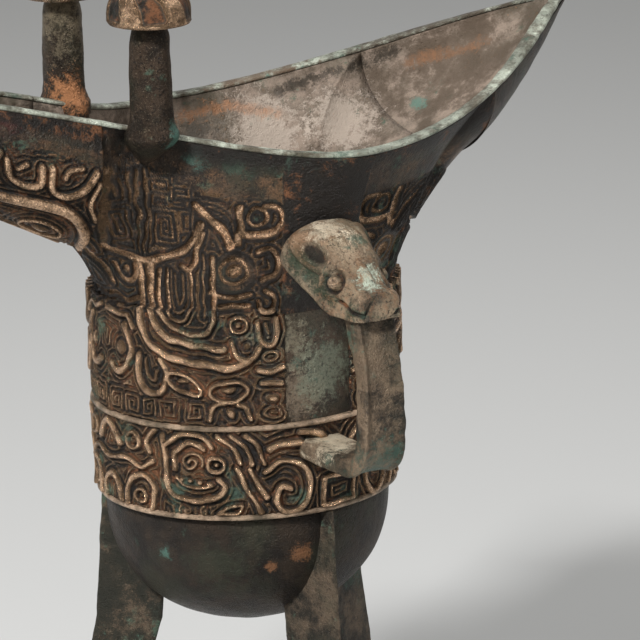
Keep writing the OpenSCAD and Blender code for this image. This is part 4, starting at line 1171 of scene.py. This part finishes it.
# The front is slightly hollow between its two long edges
FRONT_HOLLOW = 0.8
hollow = FRONT_HOLLOW * smooth((1 - np.abs(cos_a)) / 0.35) * (sin_a > 0)
thick = path[:, 2:3] / 2 * sin_a - hollow
wide = path[:, 3:4] * cos_a
strap = np.stack([
    np.broadcast_to(wide, thick.shape),
    -(line[:, :1] + outward[:, :1] * thick),
    line[:, 1:2] + outward[:, 1:2] * thick,
], -1)
centre = np.stack([0 * thick, -np.broadcast_to(line[:, :1], thick.shape),
                   np.broadcast_to(line[:, 1:2], thick.shape)], -1)
strap_wear = 0.16 * ripple(strap, 6, 11) + 0.08 * ripple(strap, 2.6, 12) - 0.2
strap = strap + norm(strap - centre) * strap_wear[..., None]
strap[..., 1] = np.maximum(strap[..., 1], -HANDLE_REACH)
tube_piece("strap_cast", [strap], strap_bronze, ["handle_strap"])

# The animal head on the strap
side_column = mouth[:, UNDER_TAIL + FLARE + 8]
HEAD_ROOT_W, HEAD_EYE_W, SNOUT_W = 20, 15, 12
HEAD_ROOT_H, SNOUT_H, HEAD_GAP = 17, 5.5, 0.3


def wall_reach(z):
    return np.interp(z, side_column[:, 2], -side_column[:, 1])


HEAD_ARCH, ARCH_END = 9, 46.9
ARCH_SPAN = ARCH_END - wall_reach(STRAP_TOP_Z + HEAD_ARCH)


def head_surface(s, a):
    """The head's skin: s from the wall to the snout, a from 0 to 180 degrees over the top."""
    half = np.where(s < 0.5, lerp(HEAD_ROOT_W, HEAD_EYE_W, smooth(s / 0.5)),
                    lerp(HEAD_EYE_W, SNOUT_W, smooth((s - 0.5) / 0.3))) / 2
    up = np.where(s < 0.25, lerp(HEAD_ROOT_H, HEAD_ROOT_H - 1, s / 0.25),
                  lerp(HEAD_ROOT_H - 1, SNOUT_H, smooth((s - 0.25) / 0.75)))
    left = ARCH_END - lerp(wall_reach(STRAP_TOP_Z + HEAD_ARCH), HEAD_FRONT, s)
    floor = HEAD_ARCH * (np.maximum(left, 0) / ARCH_SPAN) ** 1.2
    muzzle = np.where(s < 0.9, 1, lerp(1, 0.75, (s - 0.9) / 0.1))
    x = half * muzzle * squared(np.cos(a), 0.85)
    z = STRAP_TOP_Z + lerp(floor, up, np.abs(np.sin(a)) ** 0.8)
    back = wall_reach(z) * np.sqrt(1 - (x / CUP_L) ** 2) + HEAD_GAP
    return np.stack([x, -lerp(back, HEAD_FRONT - 0.25, s), z], -1)


head_s = np.concatenate([np.linspace(0, 0.9, 90), np.linspace(0.9, 1, 14)[1:]])[:, None]
head_a = np.radians(np.linspace(0, 180, 141))[None]
skin = head_surface(head_s, head_a)
under = lerp(skin[:, -1:], skin[:, :1], np.linspace(0, 1, 26)[1:-1][None, :, None])
head = np.concatenate([skin, under], axis=1)
head_normals = grid_normals(head, True)
if np.sum(head_normals[40:60, 60:80, 2]) < 0:
    head_normals = -head_normals
features = np.zeros(head.shape[:2])
hollows = np.zeros(head.shape[:2])


def on_skin(place):
    """The point of the head nearest to a place."""
    flat = head.reshape(-1, 3)
    return flat[np.argmin(np.linalg.norm(flat - place, axis=-1))]


def bump_at(far, width, height):
    """A rounded rise, highest where far is 0 and gone at width."""
    return height * (1 - np.clip(np.abs(far) / width, 0, 1) ** 2.4)


def raise_head(far, width, height, share=1):
    np.maximum(features, bump_at(far, width, height) * share, out=features)


def hollow_head(far, width, depth, share=1):
    np.maximum(hollows, bump_at(far, width, depth) * share, out=hollows)


head_x, head_y, head_z = [head[..., k] for k in range(3)]
for side in (-1, 1):
    # A ringed eye
    far = np.linalg.norm(head - on_skin([side * 6.4, -46.4, LINE_Z + 34]), axis=-1)
    raise_head(far - 3.1, 0.75, 0.75)
    raise_head(far, 1.7, 1.2)
    hollow_head(far - 2.05, 0.75, 0.8)
    # A leaf-shaped ear behind the eye
    away = head - on_skin([side * 8.2, -40.4, LINE_Z + 39.5])
    along = away @ norm(np.array([0, -0.9, -0.42]))
    across = away @ norm(np.array([0, -0.42, 0.9]))
    leaf = np.where(np.abs(away[..., 0]) < 4, np.hypot(along / 4.6, across / 2.0), 9)
    raise_head(leaf - 1.15, 0.4, 0.8)
    hollow_head(leaf, 0.85, 1.0)
    # A nostril
    far = np.linalg.norm(head - on_skin([side * 3.2, -53.2, LINE_Z + 31]), axis=-1)
    raise_head(far, 2.2, 0.9)
# Two brows from the wall to the snout, the closed mouth, the bridge and the nose
brow = np.abs(np.abs(head_x) - 3.4) + 9 * (head_z < LINE_Z + 30)
raise_head(brow, 0.9, 0.45, smooth((-head_y - 38) / 4) * smooth((52 + head_y) / 3))
jaw = head_z - (STRAP_TOP_Z + 1.5 + 0.34 * np.maximum(54 + head_y, 0))
hollow_head(jaw, 0.6, 0.9, smooth((-head_y - 42) / 3) * (np.abs(head_x) > 3))
raise_head(np.hypot(head_x / 1.5, (head_y + 49.5) / 3.5), 1, 0.8, head_z > LINE_Z + 29)
nose = np.linalg.norm((head - [0, -52.6, LINE_Z + 30.6]) / [4.6, 2.6, 3.0], axis=-1)
raise_head(nose, 1.3, 0.7)
features = features - hollows
wear = 0.1 * ripple(head, 7, 21) - 0.1
head = head + head_normals * (features + wear)[..., None]
head[..., 1] = np.maximum(head[..., 1], -HEAD_FRONT)
tube_piece("head_cast", [head], head_bronze, ["handle_head"], 0.7 + features * 0.8)

# The posts and their caps
POST_FOOT_Z = rim([-32.0], 0)[0, 2]
# Heights over the rim and radii, from the root that leans into the wall to the cap
POST_PROFILE = [
    (-6.6, 0.3), (-5.2, 2.0), (-3, 4.0), (-1, 5.3), (0.5, 5.6), (1.8, 5.05), (4, 4.5), (9, 4.35),
    (15, 4.25), (20, 4.1), (22.4, 3.5), (CAP_Z - POST_FOOT_Z, 3.4),
]
ROOT_LEAN = 0.5


def revolve(profile, cols=96):
    """Rings about the Z axis from heights and radii."""
    profile = np.asarray(profile, float)
    a = np.radians(all_angles(cols))
    z = np.broadcast_to(profile[:, :1], (len(profile), cols))
    return np.stack([profile[:, 1:] * np.cos(a), profile[:, 1:] * np.sin(a), z], -1)


for side, name in ((-1, "post_handle_side"), (1, "post_far_side")):
    body = revolve(spline(POST_PROFILE, steps=9))
    worn = 0.14 * ripple(body, 7, 30 + side) + 0.06 * ripple(body, 2.6, 32 + side)
    body = body + norm(body * [1, 1, 0]) * worn[..., None]
    body[..., 1] += side * np.minimum(body[..., 2], 0) * ROOT_LEAN
    body = body + [POST_X, side * POST_Y, POST_FOOT_Z]
    tube_piece(name.replace("post", "post_cast"), [body], post_bronze, [name])

# Each cap has a rolled edge, a low dome with a whorl of curved arms, and a knob
CAP_EDGE = [(0, 3.3), (0, 7.6), (0.3, 8.4), (0.9, 8.82), (2.4, 8.86)]
CAP_H = CAP_TOP_Z - CAP_Z
EDGE_H, DOME_H, KNOB_H, KNOB_R, KNOB_FOOT_R = 2.6, CAP_H - 2.6 - 3, 2.4, 2.3, 2.9
WHORL_ARMS, WHORL_TWIST = 5, 5.5
for side, name in ((-1, "cap_handle_side"), (1, "cap_far_side")):
    up = np.radians(np.linspace(6, 90, 40))
    dome_r = lerp(KNOB_FOOT_R, CAP_D / 2 - 0.15, np.cos(up))
    dome = np.stack([EDGE_H + DOME_H * np.sin(up), dome_r], -1)
    turn = np.radians(np.linspace(0, 86, 10))
    knob = np.stack([CAP_H - KNOB_H + KNOB_H * np.sin(turn), KNOB_R * np.cos(turn)], -1)
    body = revolve(np.concatenate([CAP_EDGE, dome, knob]), 160)
    r = np.hypot(body[..., 0], body[..., 1])
    turn = np.arctan2(body[..., 1], body[..., 0])
    arm = np.cos(WHORL_ARMS * turn + side * WHORL_TWIST * np.log(np.maximum(r, 1) / 3))
    on_dome = smooth((r - KNOB_FOOT_R) / 0.6) * smooth((body[..., 2] - 0.6) / 1.2)
    whorl = on_dome * (smooth(arm * 1.1 + 0.5) * 0.9 - 0.95) + 0.1 * ripple(body, 3, 51)
    body = body + norm(body - [0, 0, -4]) * (whorl - 0.15)[..., None]
    body[..., 2] = np.clip(body[..., 2], 0, CAP_H)
    body = body + [POST_X, side * POST_Y, CAP_Z]
    tube_piece(name.replace("cap", "cap_cast"), [body], cap_bronze, [name],
               1.5 + 1.4 * whorl)

# The blade legs, each with its direction in degrees from the tail. Lists run up from the floor:
# the reach of the ridge, the depth of the blade and the width of its back.
LEGS = [("leg_handle_side", -86), ("leg_tail_side", 12), ("leg_spout_side", 152)]
LEG_FOOT_R, LEG_ROOT_R = 46, HALF_L + 1.5
leg_zs = np.concatenate([np.linspace(0, BOWL_Z, 90), np.linspace(BOWL_Z, BAND_FOOT_Z, 46)[1:]])
leg_share = np.clip(leg_zs / BOWL_Z, 0, 1)
beside_bowl = (leg_zs - BOWL_Z) / (BAND_FOOT_Z - BOWL_Z)
reach = np.where(leg_zs < BOWL_Z, lerp(LEG_FOOT_R, LEG_ROOT_R, leg_share),
                 lerp(LEG_ROOT_R, HALF_L - CUP_DRAW / 2 + 0.15, beside_bowl))
depth, width = lerp(6, 15.5, leg_share), lerp(4.4, 9.4, leg_share)


def rounded_blade(depth, width, soft):
    """A three-cornered outline with soft corners: its ridge is at 0 and its back at -depth."""
    corners = np.array([[0, 0], [-depth, width / 2], [-depth, -width / 2]])
    out = []
    for k in range(3):
        before, at, after = corners[k - 1], corners[k], corners[(k + 1) % 3]
        start = at + norm(before - at) * soft[k]
        end = at + norm(after - at) * soft[k]
        for t in np.linspace(0, 1, 7):
            out.append((1 - t) ** 2 * start + 2 * t * (1 - t) * at + t * t * end)
        for t in np.linspace(0, 1, 8)[1:-1]:
            finish = after + norm(at - after) * soft[(k + 1) % 3]
            out.append(lerp(end, finish, t))
    return np.array(out)


def out_of_bowl(p):
    """How much farther out a place goes to be no deeper than half way in the bowl's wall."""
    down = np.clip((BAND_FOOT_Z - p[..., 2]) / (BAND_FOOT_Z - BOWL_Z), 0, 1)
    share = egg_share * np.sqrt(1 - down**2.5)
    length, breadth = [np.maximum(half * share - METAL_T / 2, 0.01) for half in (HALF_L, HALF_W)]
    return np.maximum(1, 1 / np.maximum(np.hypot(p[..., 0] / length, p[..., 1] / breadth), 0.01))


for name, direction in LEGS:
    turn = math.radians(direction)
    blades = [rounded_blade(d, w, [1.6 + 0.03 * d, 1.2, 1.2]) + [r + 0.25, 0]
              for r, d, w in zip(reach, depth, width)]
    x, y = np.moveaxis(np.array(blades), -1, 0)
    spread = np.stack([
        x * math.cos(turn) - y * math.sin(turn),
        x * math.sin(turn) + y * math.cos(turn),
        np.broadcast_to(leg_zs[:, None], x.shape),
    ], -1)
    worn = 0.16 * ripple(spread, 12, direction % 7) + 0.06 * ripple(spread, 4, 5)
    centre = spread.mean(1, keepdims=True)
    fade = smooth(leg_zs / 2)[:, None, None]
    spread = spread + norm(spread - centre) * (worn - 0.1)[..., None] * fade
    spread[..., :2] *= out_of_bowl(spread)[..., None]
    tube_piece(name.replace("leg", "leg_cast"), [spread], leg_bronze, [name])

# The floor, the light and the camera
ROOM, PALE_FLOOR, FLOOR_HALF = (0.30, 0.30, 0.296, 1), (0.62, 0.62, 0.61, 1), 4
floor_mesh = bpy.data.meshes.new("floor")
corners = [(x * FLOOR_HALF, y * FLOOR_HALF, 0) for x, y in ((-1, -1), (1, -1), (1, 1), (-1, 1))]
floor_mesh.from_pydata(corners, [], [(0, 1, 2, 3)])
floor_mesh.materials.append(Graph("pale floor").close(PALE_FLOOR, 0.9))
floor = bpy.data.objects.new("floor", floor_mesh)
bpy.context.scene.collection.objects.link(floor)

world = bpy.data.worlds.new("pale room")
bpy.context.scene.world = world
world.use_nodes = True
nodes, links = world.node_tree.nodes, world.node_tree.links
nodes.clear()
background = nodes.new("ShaderNodeBackground")
background.inputs["Color"].default_value = ROOM
background.inputs["Strength"].default_value = 1
world_output = nodes.new("ShaderNodeOutputWorld")
links.new(background.outputs[0], world_output.inputs["Surface"])


def area_light(name, place, target, size, power):
    light = bpy.data.lights.new(name, "AREA")
    light.shape = "RECTANGLE"
    light.size, light.size_y = size
    light.energy = power
    lamp = bpy.data.objects.new(name, light)
    lamp.location = place
    aim = Vector(target) - Vector(place)
    lamp.rotation_euler = aim.to_track_quat("-Z", "Y").to_euler()
    bpy.context.scene.collection.objects.link(lamp)


middle_of_cup = (0, 0, 0.14)
area_light("key", (-0.72, -0.40, 0.82), middle_of_cup, (0.12, 0.12), 14)
area_light("fill", (0.6, -0.7, 0.45), middle_of_cup, (0.3, 0.3), 1.5)
area_light("top", (0.2, 0.3, 0.9), middle_of_cup, (0.4, 0.4), 2)

CAMERA_AT = Vector(((-415.7 + AXIS[0]) * MM, (-711.4 + AXIS[1]) * MM, 354.0 * MM))
LENS, SENSOR, ROLL = 223.96, 36, math.radians(-0.88)
camera_data = bpy.data.cameras.new("camera")
camera_data.lens = LENS
camera_data.sensor_width = SENSOR
camera_data.clip_start = 0.05
camera = bpy.data.objects.new("camera", camera_data)
forward = Vector((0.503485, 0.824162, -0.259361)).normalized()
right = Vector((0.853367, -0.521322, 0)).normalized()
up = right.cross(forward)
rolled_right = right * math.cos(ROLL) + up * math.sin(ROLL)
rolled_up = up * math.cos(ROLL) - right * math.sin(ROLL)
turned = Matrix((rolled_right, rolled_up, -forward)).transposed()
camera.matrix_world = Matrix.Translation(CAMERA_AT) @ turned.to_4x4()
bpy.context.scene.collection.objects.link(camera)
bpy.context.scene.camera = camera
bpy.context.scene.view_settings.view_transform = "Standard"
